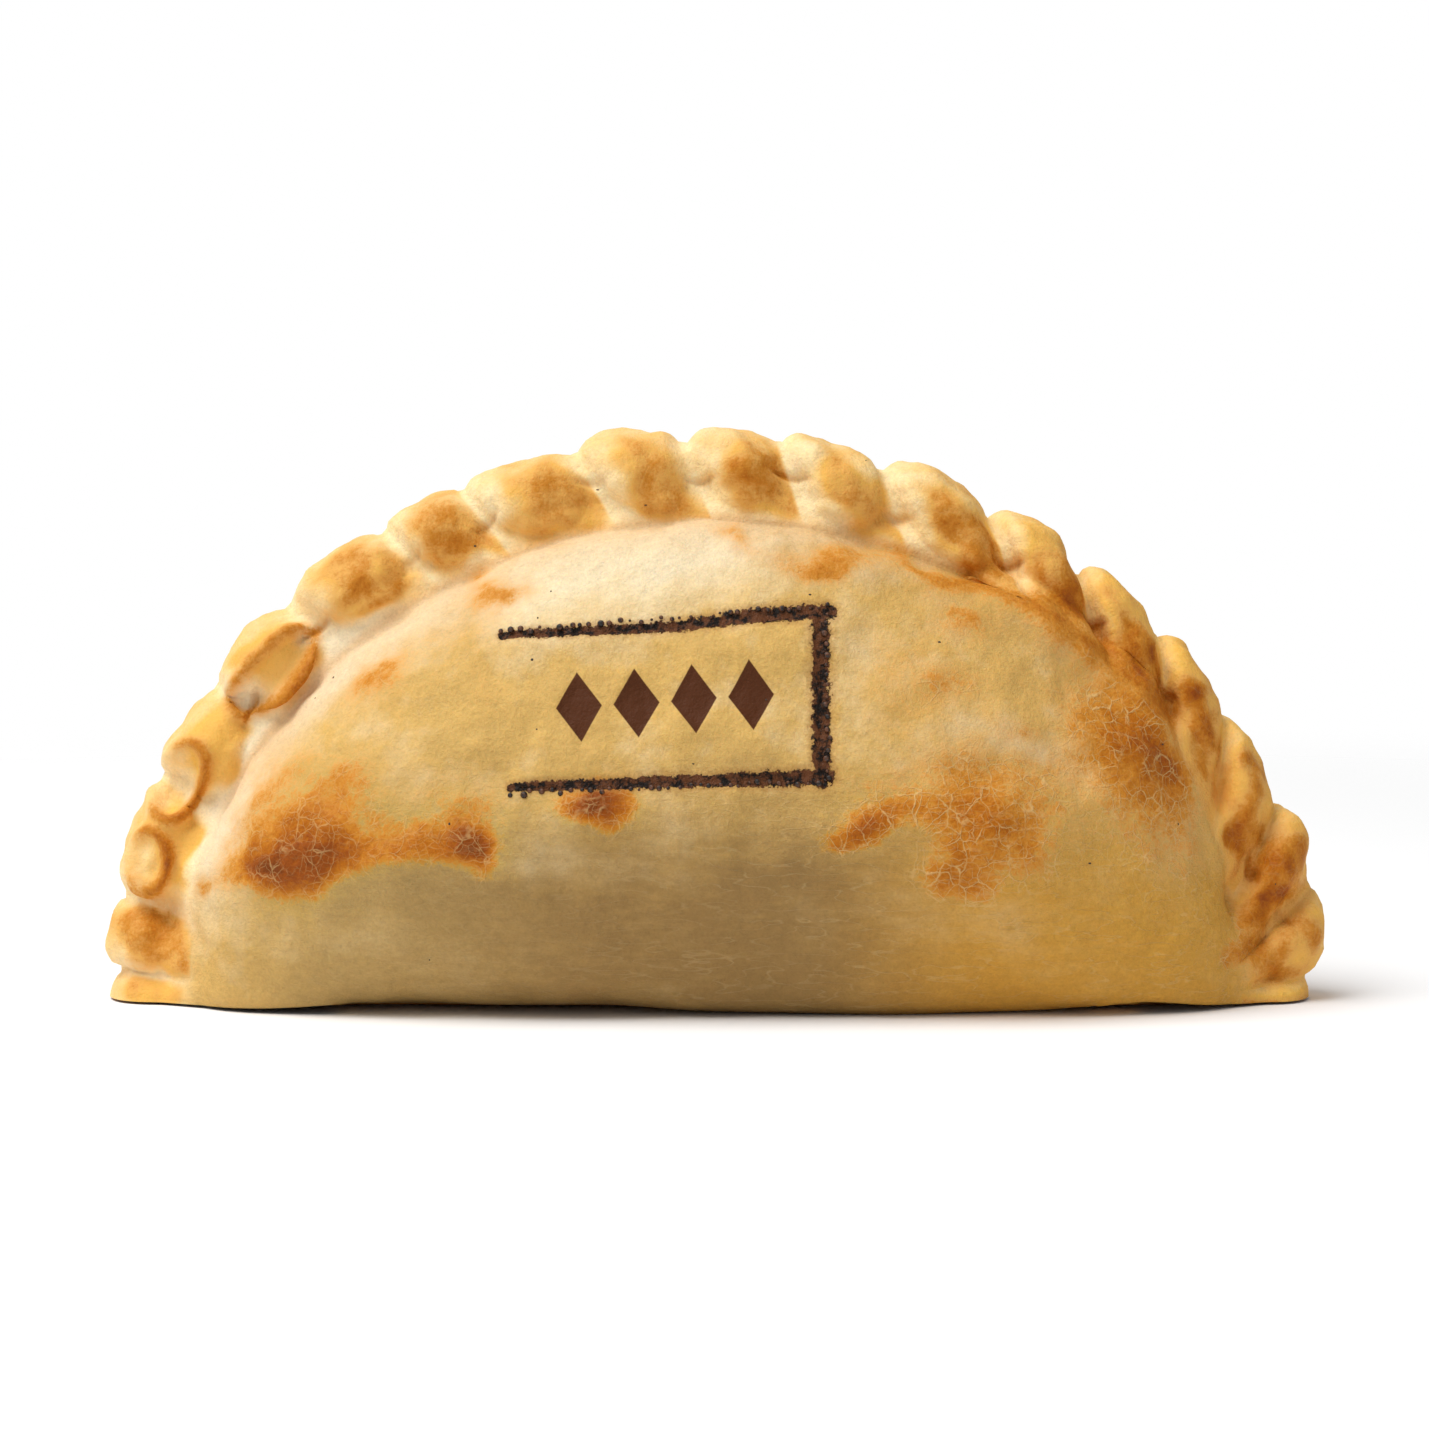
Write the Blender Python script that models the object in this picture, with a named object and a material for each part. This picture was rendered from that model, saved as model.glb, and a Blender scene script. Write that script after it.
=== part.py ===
"""Beef empanada: a folded round of dough, sealed along its curved edge with a rope of crimped folds.

It stands on the fold that it was baked on, with the crimped edge arching over the top. Units are metres,
+Z is up, X runs along the fold and -Y is the stamped front. The origin is the middle of the base.
"""

import math

import bmesh
import bpy
import numpy as np

MM = 0.001

# Driving dimensions
LENGTH = 130 * MM  # from end to end over the crimped edge
HEIGHT = 60.8 * MM  # from the tray to the top of the crimped edge
THICKNESS = 46 * MM  # from the front of the belly to its back
RIM_WIDTH = 10.4 * MM  # the crimped edge, from the groove to its outer side

# Belly
FOOT_REACH = 0.60  # how far the middle line of the base goes, as a share of half the length
BELLY_HEIGHT = 23 * MM  # up to this height, the belly still widens
BASE_SHARE = 0.52  # the base's width as a share of the belly's
BASE_ROUND = 0.62  # below 1, the belly leaves the tray in a tighter curve
END_TAPER, END_POWER = 0.46, 2.2  # how much thinner the belly is at its two ends, and how late that sets in
SHOULDER_IN, SHOULDER_OUT = 2.9, 0.50  # the powers that round the belly's shoulder

# Crimped edge
GROOVE_HALF = 3.0 * MM  # half of the dough's thickness in the groove
GROOVE_HALF_AT_FEET = 6.0 * MM  # the same where the edge comes down to the tray
GROOVE_SPREAD = 3  # how close to the tray that sets in
VALLEY_HALF = 3.5 * MM  # half of the edge's thickness between two folds
CREST_HALF = 6.0 * MM  # half of the edge's thickness on a fold
CREST_FROM = 0.30  # the share of the way across the edge at which it is fully thick
ROUND_FROM, ROUND_POWER = 0.40, 2.4  # the share at which it starts to round off, and how squarely it does
FOOT_HALF = 6.2 * MM  # half of the edge's thickness where it stands on the tray
FOOT_HEIGHT = 4.5 * MM  # the height up to which it spreads towards the tray
EDGE_SWAY = 0.8 * MM  # how far the edge wanders out of its plane
SWAY_TURNS = 3.3  # how many half waves it makes along the arch
SWAY_FROM, SWAY_REACH = 40 * MM, 25 * MM  # how far out the wandering starts, and how far on it is full

# Folds of the crimped edge, counter-clockwise from the right end: the angle at which each begins, seen
# from the middle of the base, how deep the notch is there, how far its crest stands out of the oval, and
# how far it runs along the edge while it crosses it. The angles are in degrees and the rest in mm.
FOLDS = [
    (-3.0, 2.2, -1.7, 4.0),
    (1.9, 2.0, 0.4, 4.0),
    (10.9, 0.5, 0.4, 5.0),
    (19.7, 1.9, -0.9, 6.5),
    (30.1, 2.5, -1.2, 7.5),
    (40.6, 2.7, -1.3, 7.5),
    (51.0, 3.6, -0.8, 7.0),
    (61.3, 3.0, -0.6, 6.0),
    (73.2, 2.2, -0.2, 4.5),
    (83.6, 1.5, 0.0, 3.5),
    (93.3, 1.5, 0.3, 3.5),
    (104.2, 1.4, -0.4, 4.5),
    (116.1, 1.6, -0.5, 5.0),
    (124.7, 1.6, 0.4, 5.5),
    (136.8, 1.4, 0.2, 5.5),
    (147.3, 1.3, -0.1, 4.5),
    (157.7, 0.9, -0.2, 3.0),
    (169.7, 1.2, 0.4, 2.0),
    (177.3, 1.4, -0.4, 2.0),
    (184.0, 1.4, 0.0, 2.0),
]
FOLD_LEAN = 1.30  # above 1, a fold is fullest near its counter-clockwise end
FOLD_ROUND = 0.60  # below 1, a fold is full and its notches are sharp
FOLD_ALONG, FOLD_INWARD = 2.6, 3  # how square a fold is along the edge and at its inner end
FOLD_GAP = 0.12  # the share of each fold's stretch that its valley takes
FLAT_BAND = 0.14  # the share of the edge, next to the groove, that the folds leave flat
SLANT_HEIGHT = 14 * MM  # nearer to the tray than this, the folds cross the edge more squarely

# Relief of the crust: x and z of its middle, its two reaches, its tilt in degrees and its rise, in mm
FRONT_RELIEF = [
    (-43.5, 19.0, 9.0, 6.5, 20, 1.3),
    (-30.0, 16.5, 8.0, 4.0, -6, 1.0),
    (-21.5, 24.0, 6.0, 7.0, 0, -0.6),
    (-12.7, 20.3, 4.5, 3.2, 0, 0.7),
    (15.5, 18.6, 7.0, 2.8, 10, 0.9),
    (29.0, 18.5, 8.5, 6.0, 0, 1.4),
    (44.0, 27.5, 5.5, 7.5, 25, 1.4),
    (31.5, 42.0, 12.0, 2.4, -30, 1.2),
    (11.8, 46.0, 5.0, 2.0, -12, 0.5),
    (4.0, 8.5, 10.0, 6.0, 0, -0.9),
    (17.5, 36.0, 7.0, 6.5, 0, -0.5),
    (-5.5, 31.5, 17.0, 9.0, 4, -0.7),
]
BACK_RELIEF = [
    (40.0, 20.0, 9.0, 6.5, -15, 1.3),
    (22.0, 29.0, 9.0, 7.0, 10, -0.8),
    (8.0, 17.0, 9.0, 5.0, 5, 1.1),
    (-18.0, 22.0, 8.0, 6.0, -10, 1.2),
    (-5.0, 38.0, 10.0, 6.0, 0, -0.6),
    (-42.0, 24.0, 7.0, 8.0, -20, 1.2),
    (-30.0, 41.0, 10.0, 2.6, 30, 1.0),
]
RELIEF_ABOVE = 5 * MM  # the relief is full above this height
RELIEF_OUTSIDE = 7 * MM  # and this far from the middle plane
# Stretches of the base that the dough has lifted off the tray: x of the middle, reach and lift, in mm
BASE_LIFTS = [(-33.0, 11.0, 1.1), (-13.0, 9.0, 0.8), (44.0, 7.0, 1.0)]
LIFT_HEIGHT = 7 * MM  # a lift fades out up to this height
REST_SPOTS = [(-50.0, 6.7), (50.0, 6.7), (17.8, -13.1)]  # where the base touches the tray: x and y in mm
REST_REACH = 8.0  # mm
BASE_GAP = 0.3 * MM  # how far the rest of the base stands off the tray
BASE_FLAT = 0.62  # the share of the base's width that stays flat on the tray

# Mesh
RING_SPACING = 1.62  # degrees from one ring to the next, about
BELLY_STEPS = 12  # steps from the base to the groove, on each side
RIM_STEPS = 9  # steps from the groove to the outer edge, on each side
SAMPLES = 240  # points that a section is first worked out at, in each of its two stretches
SOFTENING = 0.9 * MM  # the smallest radius that the dough keeps

CRUST_COLOUR = (0.78, 0.56, 0.29, 1.0)
CRUST_ROUGHNESS = 0.55

FOLD_START, FOLD_NOTCH, FOLD_CREST, FOLD_SLANT = np.array(FOLDS).T


def smooth_step(share):
    """A share from 0 to 1 with its two ends eased."""
    share = np.clip(share, 0.0, 1.0)
    return share * share * (3 - 2 * share)


def fold_at(angle, inward=0.0):
    """How full the fold at an angle in degrees is, from 0 in a notch to 1 on its crest, and its outline.

    inward goes from 0 at the outer edge to 1 where the fold ends.
    """
    fold = np.clip(np.searchsorted(FOLD_START, angle) - 1, 0, len(FOLDS) - 2)
    share = (angle - FOLD_START[fold]) / (FOLD_START[fold + 1] - FOLD_START[fold])
    leaning = np.clip((share - FOLD_GAP / 2) / (1 - FOLD_GAP), 0.0, 1.0) ** FOLD_LEAN
    fall = np.abs(2 * leaning - 1) ** FOLD_ALONG + np.clip(inward, 0.0, 1.0) ** FOLD_INWARD
    full = (1 - fall).clip(0.0) ** FOLD_ROUND
    notch = -FOLD_NOTCH[fold] * (1 - share) - FOLD_NOTCH[fold + 1] * share
    return full, (notch + (FOLD_CREST[fold] - notch) * full) * MM


def belly_half(x, z, share, groove_half):
    """Half of the belly's thickness at x and z, a share of the way from the base to the groove."""
    rise = np.clip(z / BELLY_HEIGHT, 0.0, 1.0)
    lower = BASE_SHARE + (1 - BASE_SHARE) * (1 - (1 - rise) ** 2) ** BASE_ROUND
    ends = 1 - END_TAPER * np.abs(2 * x / LENGTH) ** END_POWER
    shoulder = (1 - share**SHOULDER_IN).clip(0.0) ** SHOULDER_OUT
    return groove_half + (THICKNESS / 2 - groove_half) * shoulder * lower * ends


def rim_half(angle, across, groove_half, z):
    """Half of the crimped edge's thickness, a share of the way across from the groove to its outer side."""
    full, _ = fold_at(angle, (1 - across) / (1 - FLAT_BAND))
    half = VALLEY_HALF + (CREST_HALF - VALLEY_HALF) * full
    half += (FOOT_HALF - half) * (1 - smooth_step(z / FOOT_HEIGHT))
    half = groove_half + (half - groove_half) * smooth_step(across / CREST_FROM)
    outer = np.clip((across - ROUND_FROM) / (1 - ROUND_FROM), 0.0, 1.0)
    return half * np.sqrt(1 - outer**ROUND_POWER)


def evenly(line, marks, counts):
    """Evenly spaced points of a line in each stretch between the marks, which are points of it."""
    along = np.concatenate([[0.0], np.cumsum(np.linalg.norm(np.diff(line, axis=0), axis=1))])
    wanted = [[0.0]]
    for low, high, count in zip(marks, marks[1:], counts):
        wanted.append(np.linspace(along[low], along[high], count + 1)[1:])
    wanted = np.concatenate(wanted)
    return np.stack([np.interp(wanted, along, values) for values in line.T], axis=-1)


def soften(line):
    """A line of evenly spaced points smoothed over the softening radius, with its two ends kept."""
    step = np.linalg.norm(np.diff(line, axis=0), axis=1).mean()
    reach = max(1, round(3 * SOFTENING / step))
    weights = np.exp(-0.5 * (np.arange(-reach, reach + 1) * step / SOFTENING) ** 2)
    weights /= weights.sum()
    before = 2 * line[0] - line[reach:0:-1]
    after = 2 * line[-1] - line[-2 : -reach - 2 : -1]
    longer = np.concatenate([before, line, after])
    return np.stack([np.convolve(values, weights, mode="valid") for values in longer.T], axis=-1)


def profile(angle, side, belly_steps, rim_steps):
    """One side of the section that meets the outer edge at an angle, from the base to the edge, as points.

    The section follows the folds: they run along the edge while they cross it.
    """
    polar = math.radians(angle)
    turn = math.atan2(math.sin(polar) / HEIGHT, math.cos(polar) / (LENGTH / 2))
    eased = np.sin(np.linspace(0.0, math.pi / 2, SAMPLES))
    share = np.concatenate([eased, np.ones(SAMPLES - 1)])
    across = np.concatenate([np.zeros(SAMPLES), eased[1:]])
    slant = np.interp(angle, FOLD_START, FOLD_SLANT) * MM / (LENGTH / 2)
    slant *= smooth_step(math.sin(turn) * HEIGHT / SLANT_HEIGHT)
    turns = turn - side * slant * smooth_step(share) * (1 - across)
    oval = np.stack([LENGTH / 2 * np.cos(turns), HEIGHT * np.sin(turns)])
    foot = np.stack([FOOT_REACH * oval[0], np.zeros_like(turns)])
    length = np.linalg.norm(oval - foot, axis=0)
    groove = length - RIM_WIDTH
    width = RIM_WIDTH + fold_at(angle)[1]
    x, z = foot + (oval - foot) / length * (groove * share + width * across)
    low = (1 - np.sin(turns)) ** GROOVE_SPREAD
    groove_half = GROOVE_HALF + (GROOVE_HALF_AT_FEET - GROOVE_HALF) * low
    half = belly_half(x, z, share, groove_half)
    half[SAMPLES:] = rim_half(angle, across, groove_half, z)[SAMPLES:]
    line = evenly(np.stack([x, half, z], axis=-1), [0, SAMPLES - 1, 2 * SAMPLES - 2], [SAMPLES, SAMPLES])
    line = evenly(soften(line), [0, SAMPLES, 2 * SAMPLES], [belly_steps, rim_steps])
    line[-1, 1] = 0.0
    outward = smooth_step((line[:, 2] + np.abs(line[:, 0]) - SWAY_FROM) / SWAY_REACH)
    sway = EDGE_SWAY * math.sin(SWAY_TURNS * polar) * math.sin(turn) * outward
    return np.stack([line[:, 0], sway - side * line[:, 1], line[:, 2].clip(0.0)], axis=-1)


def ring_angles():
    """The angles of the rings: each fold has some of its own, so that its valleys fall on rings."""
    angles = [0.0]
    for low, high in zip(FOLD_START.clip(0.0, 180.0), FOLD_START[1:].clip(0.0, 180.0)):
        count = max(2, round((high - low) / RING_SPACING))
        angles.extend(np.linspace(low, high, count + 1)[1:])
    return angles


def relief(points, bumps):
    """How far each bump and dent in the list moves the crust at these points."""
    total = np.zeros(points.shape[:-1])
    for x, z, reach_along, reach_across, tilt, rise in bumps:
        dx = points[..., 0] / MM - x
        dz = points[..., 2] / MM - z
        turned = math.radians(tilt)
        along = (dx * math.cos(turned) + dz * math.sin(turned)) / reach_along
        across = (dz * math.cos(turned) - dx * math.sin(turned)) / reach_across
        total += rise * MM * np.exp(-(along**2) - across**2)
    return total


def grid_normals(points, side):
    """Outward normals of a grid of points of one side."""
    along, up = np.gradient(points, axis=0), np.gradient(points, axis=1)
    normals = side * np.cross(up, along)
    return normals / np.linalg.norm(normals, axis=-1, keepdims=True).clip(1e-12)


def base_gap(x, y):
    """How far the base stands off the tray at x and y."""
    far = [((x / MM - spot_x) ** 2 + (y / MM - spot_y) ** 2) / REST_REACH**2 for spot_x, spot_y in REST_SPOTS]
    return BASE_GAP * (1 - np.exp(-np.min(far, axis=0)))


def side_grid(side, bumps):
    """The points of one side of the crust: one row for each ring, from the base to the outer edge."""
    points = np.stack([profile(angle, side, BELLY_STEPS, RIM_STEPS) for angle in ring_angles()])
    fade = smooth_step(points[..., 2] / RELIEF_ABOVE) * smooth_step(np.abs(points[..., 1]) / RELIEF_OUTSIDE)
    points += grid_normals(points, side) * (relief(points, bumps) * fade)[..., None]
    for x, reach, lift in BASE_LIFTS:
        near = np.exp(-(((points[..., 0] / MM - x) / reach) ** 2))
        points[..., 2] += lift * MM * near * (1 - smooth_step(points[..., 2] / LIFT_HEIGHT))
    low = 1 - smooth_step(points[..., 2] / LIFT_HEIGHT)
    points[..., 2] += base_gap(points[..., 0], points[..., 1]) * low
    return points


def on_base(point):
    """The place on the base below or above a point, in the part of its width that stays flat on the tray."""
    x, y = point[0], point[1] * BASE_FLAT
    return x, y, float(base_gap(x, y))


def close_end(shell, ring):
    """Faces over the base from a first or last ring to its outer edge: flat in the middle, up to the ring."""
    tip = BELLY_STEPS + RIM_STEPS
    back_flat, front_flat = ring[-2:]
    for k in range(tip - 1):
        front, front_next = ring[k], ring[k + 1]
        back, back_next = ring[2 * tip - k], ring[2 * tip - k - 1]
        ahead = [shell.verts.new(on_base(vertex.co)) for vertex in (front_next, back_next)]
        shell.faces.new((front, front_next, ahead[0], front_flat))
        shell.faces.new((front_flat, ahead[0], ahead[1], back_flat))
        shell.faces.new((back_flat, ahead[1], back_next, back))
        front_flat, back_flat = ahead
    shell.faces.new((ring[tip - 1], ring[tip], front_flat))
    shell.faces.new((front_flat, ring[tip], back_flat))
    shell.faces.new((back_flat, ring[tip], ring[tip + 1]))


def crust_mesh(name):
    """The whole crust as one closed mesh: rings round the section, and a flat base."""
    shell = bmesh.new()
    rings = []
    for front_row, back_row in zip(side_grid(1, FRONT_RELIEF), side_grid(-1, BACK_RELIEF)):
        flat = [on_base(point) for point in (back_row[0], front_row[0])]
        ring = np.concatenate([front_row, back_row[-2::-1], flat])
        rings.append([shell.verts.new(point) for point in ring])
    for lower, upper in zip(rings, rings[1:]):
        for k, vertex in enumerate(lower):
            after = (k + 1) % len(lower)
            shell.faces.new((vertex, lower[after], upper[after], upper[k]))
    close_end(shell, rings[0])
    close_end(shell, rings[-1])
    places = np.array([vertex.co for vertex in shell.verts])
    middle = (places.min(axis=0) + places.max(axis=0)) / 2
    bmesh.ops.translate(shell, verts=shell.verts, vec=(-middle[0], -middle[1], -places[:, 2].min()))
    bmesh.ops.triangulate(shell, faces=shell.faces[:])
    bmesh.ops.recalc_face_normals(shell, faces=shell.faces[:])
    mesh = bpy.data.meshes.new(name)
    shell.to_mesh(mesh)
    shell.free()
    mesh.shade_smooth()
    return mesh


def crust_material():
    """Baked dough, pale gold and a little glossy."""
    material = bpy.data.materials.new("baked_crust")
    material.use_nodes = True
    shader = material.node_tree.nodes["Principled BSDF"]
    shader.inputs["Base Color"].default_value = CRUST_COLOUR
    shader.inputs["Roughness"].default_value = CRUST_ROUGHNESS
    shader.inputs["Metallic"].default_value = 0.0
    return material


def main():
    for old in list(bpy.data.objects):
        bpy.data.objects.remove(old)
    empanada = bpy.data.objects.new("empanada", crust_mesh("empanada"))
    empanada.data.materials.append(crust_material())
    bpy.context.scene.collection.objects.link(empanada)


main()
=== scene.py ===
"""Looks of a beef empanada: a crust with blisters, folds, burns and specks, on a pale floor."""

import functools
import math

import bpy
import numpy as np
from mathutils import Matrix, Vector, noise


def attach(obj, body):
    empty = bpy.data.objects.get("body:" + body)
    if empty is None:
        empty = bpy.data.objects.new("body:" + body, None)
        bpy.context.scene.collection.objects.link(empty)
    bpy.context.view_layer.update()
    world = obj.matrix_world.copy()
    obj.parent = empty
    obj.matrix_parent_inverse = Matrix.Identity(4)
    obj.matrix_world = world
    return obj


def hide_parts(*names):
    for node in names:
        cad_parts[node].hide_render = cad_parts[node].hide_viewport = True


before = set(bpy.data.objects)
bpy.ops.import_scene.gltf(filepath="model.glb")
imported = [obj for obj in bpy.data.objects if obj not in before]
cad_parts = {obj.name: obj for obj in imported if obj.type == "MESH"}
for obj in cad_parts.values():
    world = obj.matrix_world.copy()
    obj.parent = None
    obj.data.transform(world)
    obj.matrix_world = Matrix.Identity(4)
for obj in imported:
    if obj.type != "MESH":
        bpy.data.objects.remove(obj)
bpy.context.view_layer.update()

MM = 0.001

# Driving dimensions, as in the solid
LENGTH = 130 * MM
HEIGHT = 60.8 * MM
THICKNESS = 46 * MM
RIM_WIDTH = 10.4 * MM
FOOT_REACH = 0.6
BELLY_HEIGHT = 23 * MM
BASE_SHARE = 0.52
BASE_ROUND = 0.62
BASE_FLAT = 0.62
END_TAPER, END_POWER = 0.46, 2.2
SHOULDER_IN, SHOULDER_OUT = 2.9, 0.5
GROOVE_HALF = 3.0 * MM
GROOVE_HALF_AT_FEET = 6.0 * MM
GROOVE_SPREAD = 3
VALLEY_HALF = 3.5 * MM
CREST_HALF = 6.0 * MM
CREST_FROM = 0.3
ROUND_FROM, ROUND_POWER = 0.4, 2.4
FOOT_HALF = 6.2 * MM
FOOT_HEIGHT = 4.5 * MM
EDGE_SWAY = 0.8 * MM
SWAY_TURNS = 3.3
SWAY_FROM, SWAY_REACH = 40 * MM, 25 * MM
FOLD_LEAN = 1.3
FOLD_ROUND = 0.6
FOLD_ALONG, FOLD_INWARD = 2.6, 3
FOLD_GAP = 0.12
FLAT_BAND = 0.14
SLANT_HEIGHT = 14 * MM

# Folds, counter-clockwise from the right end: the angle in degrees at which each begins, its notch, its
# crest and its slant in mm, and how brown its crest is baked on the front and on the back
FOLDS = [
    (-3, 2.2, -1.7, 4, 0.5, 0.4),
    (1.9, 2, 0.4, 4, 0.46, 0.44),
    (10.9, 0.5, 0.4, 5, 0.74, 0.5),
    (19.7, 1.9, -0.9, 6.5, 0.74, 0.6),
    (30.1, 2.5, -1.2, 7.5, 0.68, 0.48),
    (40.6, 2.7, -1.3, 7.5, 0.6, 0.42),
    (51, 3.6, -0.8, 7, 0.6, 0.55),
    (61.3, 3, -0.6, 6, 0.54, 0.44),
    (73.2, 2.2, -0.2, 4.5, 0.3, 0.55),
    (83.6, 1.5, 0, 3.5, 0.48, 0.46),
    (93.3, 1.5, 0.3, 3.5, 0.32, 0.38),
    (104.2, 1.4, -0.4, 4.5, 0.34, 0.48),
    (116.1, 1.6, -0.5, 5, 0.54, 0.52),
    (124.7, 1.6, 0.4, 5.5, 0.44, 0.4),
    (136.8, 1.4, 0.2, 5.5, 0.06, 0.46),
    (147.3, 1.3, -0.1, 4.5, 0.04, 0.4),
    (157.7, 0.9, -0.2, 3, 0.08, 0.44),
    (169.7, 1.2, 0.4, 2, 0.3, 0.44),
    (177.3, 1.4, -0.4, 2, 0.26, 0.36),
    (184, 1.4, 0, 2, 0.26, 0.36),
]
FOLD_START, FOLD_NOTCH, FOLD_CREST, FOLD_SLANT, FOLD_BROWN, FOLD_BROWN_BACK = np.array(FOLDS).T

# Relief, as in the solid: x and z of its middle, its two reaches, its tilt in degrees and its rise, in mm
FRONT_RELIEF = [
    (-43.5, 19, 9, 6.5, 20, 1.3),
    (-30, 16.5, 8, 4, -6, 1),
    (-21.5, 24, 6, 7, 0, -0.6),
    (-12.7, 20.3, 4.5, 3.2, 0, 0.7),
    (15.5, 18.6, 7, 2.8, 10, 0.9),
    (29, 18.5, 8.5, 6, 0, 1.4),
    (44, 27.5, 5.5, 7.5, 25, 1.4),
    (31.5, 42, 12, 2.4, -30, 1.2),
    (11.8, 46, 5, 2, -12, 0.5),
    (4, 8.5, 10, 6, 0, -0.9),
    (17.5, 36, 7, 6.5, 0, -0.5),
    (-5.5, 31.5, 17, 9, 4, -0.7),
]
BACK_RELIEF = [
    (40, 20, 9, 6.5, -15, 1.3),
    (22, 29, 9, 7, 10, -0.8),
    (8, 17, 9, 5, 5, 1.1),
    (-18, 22, 8, 6, -10, 1.2),
    (-5, 38, 10, 6, 0, -0.6),
    (-42, 24, 7, 8, -20, 1.2),
    (-30, 41, 10, 2.6, 30, 1),
]
RELIEF_ABOVE = 5 * MM
RELIEF_OUTSIDE = 7 * MM
BASE_LIFTS = [(-33.0, 11.0, 1.1), (-13.0, 9.0, 0.8), (44.0, 7.0, 1.0)]
LIFT_HEIGHT = 7 * MM
REST_SPOTS = [(-50.0, 6.7), (50.0, 6.7), (17.8, -13.1)]
REST_REACH = 8.0
BASE_GAP = 0.3 * MM

# Mesh
RING_SPACING = 0.45  # degrees
FRONT_BELLY_STEPS, FRONT_RIM_STEPS = 96, 42
BACK_BELLY_STEPS, BACK_RIM_STEPS = 56, 32
FLAT_STEPS = 6  # steps across the flat base
SAMPLES = 240
SOFTENING = 0.55 * MM

# Camera: straight at the front and a little above it
CAMERA_LENS, CAMERA_SENSOR = 100.0, 36.0
CAMERA_DISTANCE = 422 * MM
CAMERA_RISE = math.radians(4.0)
CAMERA_TARGET = Vector((0.0, 0.0, 30.2 * MM))
CAMERA_BACK = Vector((0.0, -math.cos(CAMERA_RISE), math.sin(CAMERA_RISE)))
CAMERA_PLACE = CAMERA_TARGET + CAMERA_BACK * CAMERA_DISTANCE

# From here on, places on the crust are given on the plan: the upright middle plane, seen from the camera.
# Small relief of the front: x, z, two reaches, tilt and rise, in mm and degrees
FRONT_DETAIL = [
    (-26, 21, 1.6, 2.2, 20, 0.3),
    (-22.5, 24, 1.3, 2.6, -35, -0.28),
    (-25.5, 27, 2, 1.2, 30, 0.22),
    (-19.5, 20.5, 1.4, 1.6, 0, -0.22),
    (-30.5, 29, 3, 1.8, 25, -0.22),
    (-35, 33, 3.4, 2.4, 0, 0.35),
    (-23, 43, 3.2, 2, 0, 0.35),
    (11.8, 46.4, 4.6, 1.5, -10, 0.35),
    (26.7, 40, 3, 1.3, -20, 0.25),
    (24, 33.5, 3.5, 2, 20, 0.25),
    (31.5, 29.5, 3.5, 1.8, -15, 0.25),
    (15.5, 18.4, 6.2, 2.2, 10, 0.4),
    (-12.7, 20.2, 4.2, 2.6, 0, 0.35),
    (48, 25, 1.6, 6, 28, 0.45),
    (36, 21, 4, 3, 0, 0.3),
    (22.5, 21.5, 3.5, 2.6, 0, 0.25),
]
# Pressed hollows with a raised lip on the front's crimped edge: x, z, two reaches, tilt, depth, lip and the
# direction in which the lip is highest
PRESSED = [
    (-46.9, 34.7, 6, 2.4, 47, 0.6, 1.75, -50),
    (-57, 23, 4.4, 2.4, 68, 0.8, 1.6, -40),
    (-60.4, 14.6, 3.1, 2.1, 86, 0.8, 1.45, -10),
]
LIP_HALF = 0.72  # mm
LIP_LOWEST = 0.52  # a lip's height where it is lowest, as a share of its highest
LIP_BROWN, HOLLOW_FLOUR = 0.5, 0.3
# Ledges, where the crust above a line stands out over the crust below: x and z of its two ends, rise
LEDGES = [
    (-52, 10.5, -40, 12.2, 0.55),
    (-40, 12.2, -24, 15.2, 0.45),
]
LEDGE_REACH, LEDGE_FADE = 1.3, 0.25  # mm, and how much of its length each end fades over
# Pinches in the valleys between the folds: half length, half width and depth in mm, how far across the edge
# they lie and how much that differs, their weakest and strongest, and how far they bend
PINCH_REACH, PINCH_DEPTH = (1.6, 0.55), 0.8
PINCH_ACROSS, PINCH_MOVED = 0.5, 0.12
PINCH_STRENGTH, PINCH_BEND = (0.2, 1.0), 0.5
PINCH_BROWN = 0.25
ARC_PER_DEGREE = 1.05  # mm along the edge, about
# The thick pad of each fold: its middle and half length as shares of the fold, its least browning, how
# uneven its outline is, where across it begins and fades, and how much of it fades
# The pad's middle lies before the fold's middle, so each fold's counter-clockwise flank stays paler: partly
# a painted highlight on the flank toward the light
PAD_MIDDLE, PAD_HALF = 0.4, 0.4
PAD_BROWN, PAD_WANDER = 0.15, 0.24
PAD_BEGINS, PAD_FADES, PAD_FADE = (0.02, 0.28), (0.62, 0.35), 0.65
# Where dough crosses the groove on the front: two angles in degrees and how far it is filled, from 0 to 1;
# and the stretch of the section that it spans, with the groove at 1
BRIDGES = [(-20, 24, 0.95), (18, 70, 0.98), (60, 165, 0.3), (152, 200, 0.95)]
BRIDGE_SPAN, BRIDGE_FADE = (0.93, 1.38), 12  # and over how many degrees its ends fade
# Lumps of the whole crust: size and rise, in mm
LUMPS = [(12, 0.9), (5, 0.46), (2.4, 0.21), (1.2, 0.08)]
RIM_LUMPS = [(4.0, 0.65), (1.8, 0.24), (0.9, 0.08)]
RIM_LUMPS_BEGIN, RIM_LUMPS_FADE = 1.02, 0.25  # on the section, with the groove at 1
RIM_CALM = 0.6  # how much of the crust's lumps they replace
SMOOTH_BELOW, SMOOTH_FADE = 0.3, 3.0  # mm above the tray
LUMP_SHIFT = np.array([7.3, 3.1, 5.7])  # how far a seed moves the noise

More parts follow.
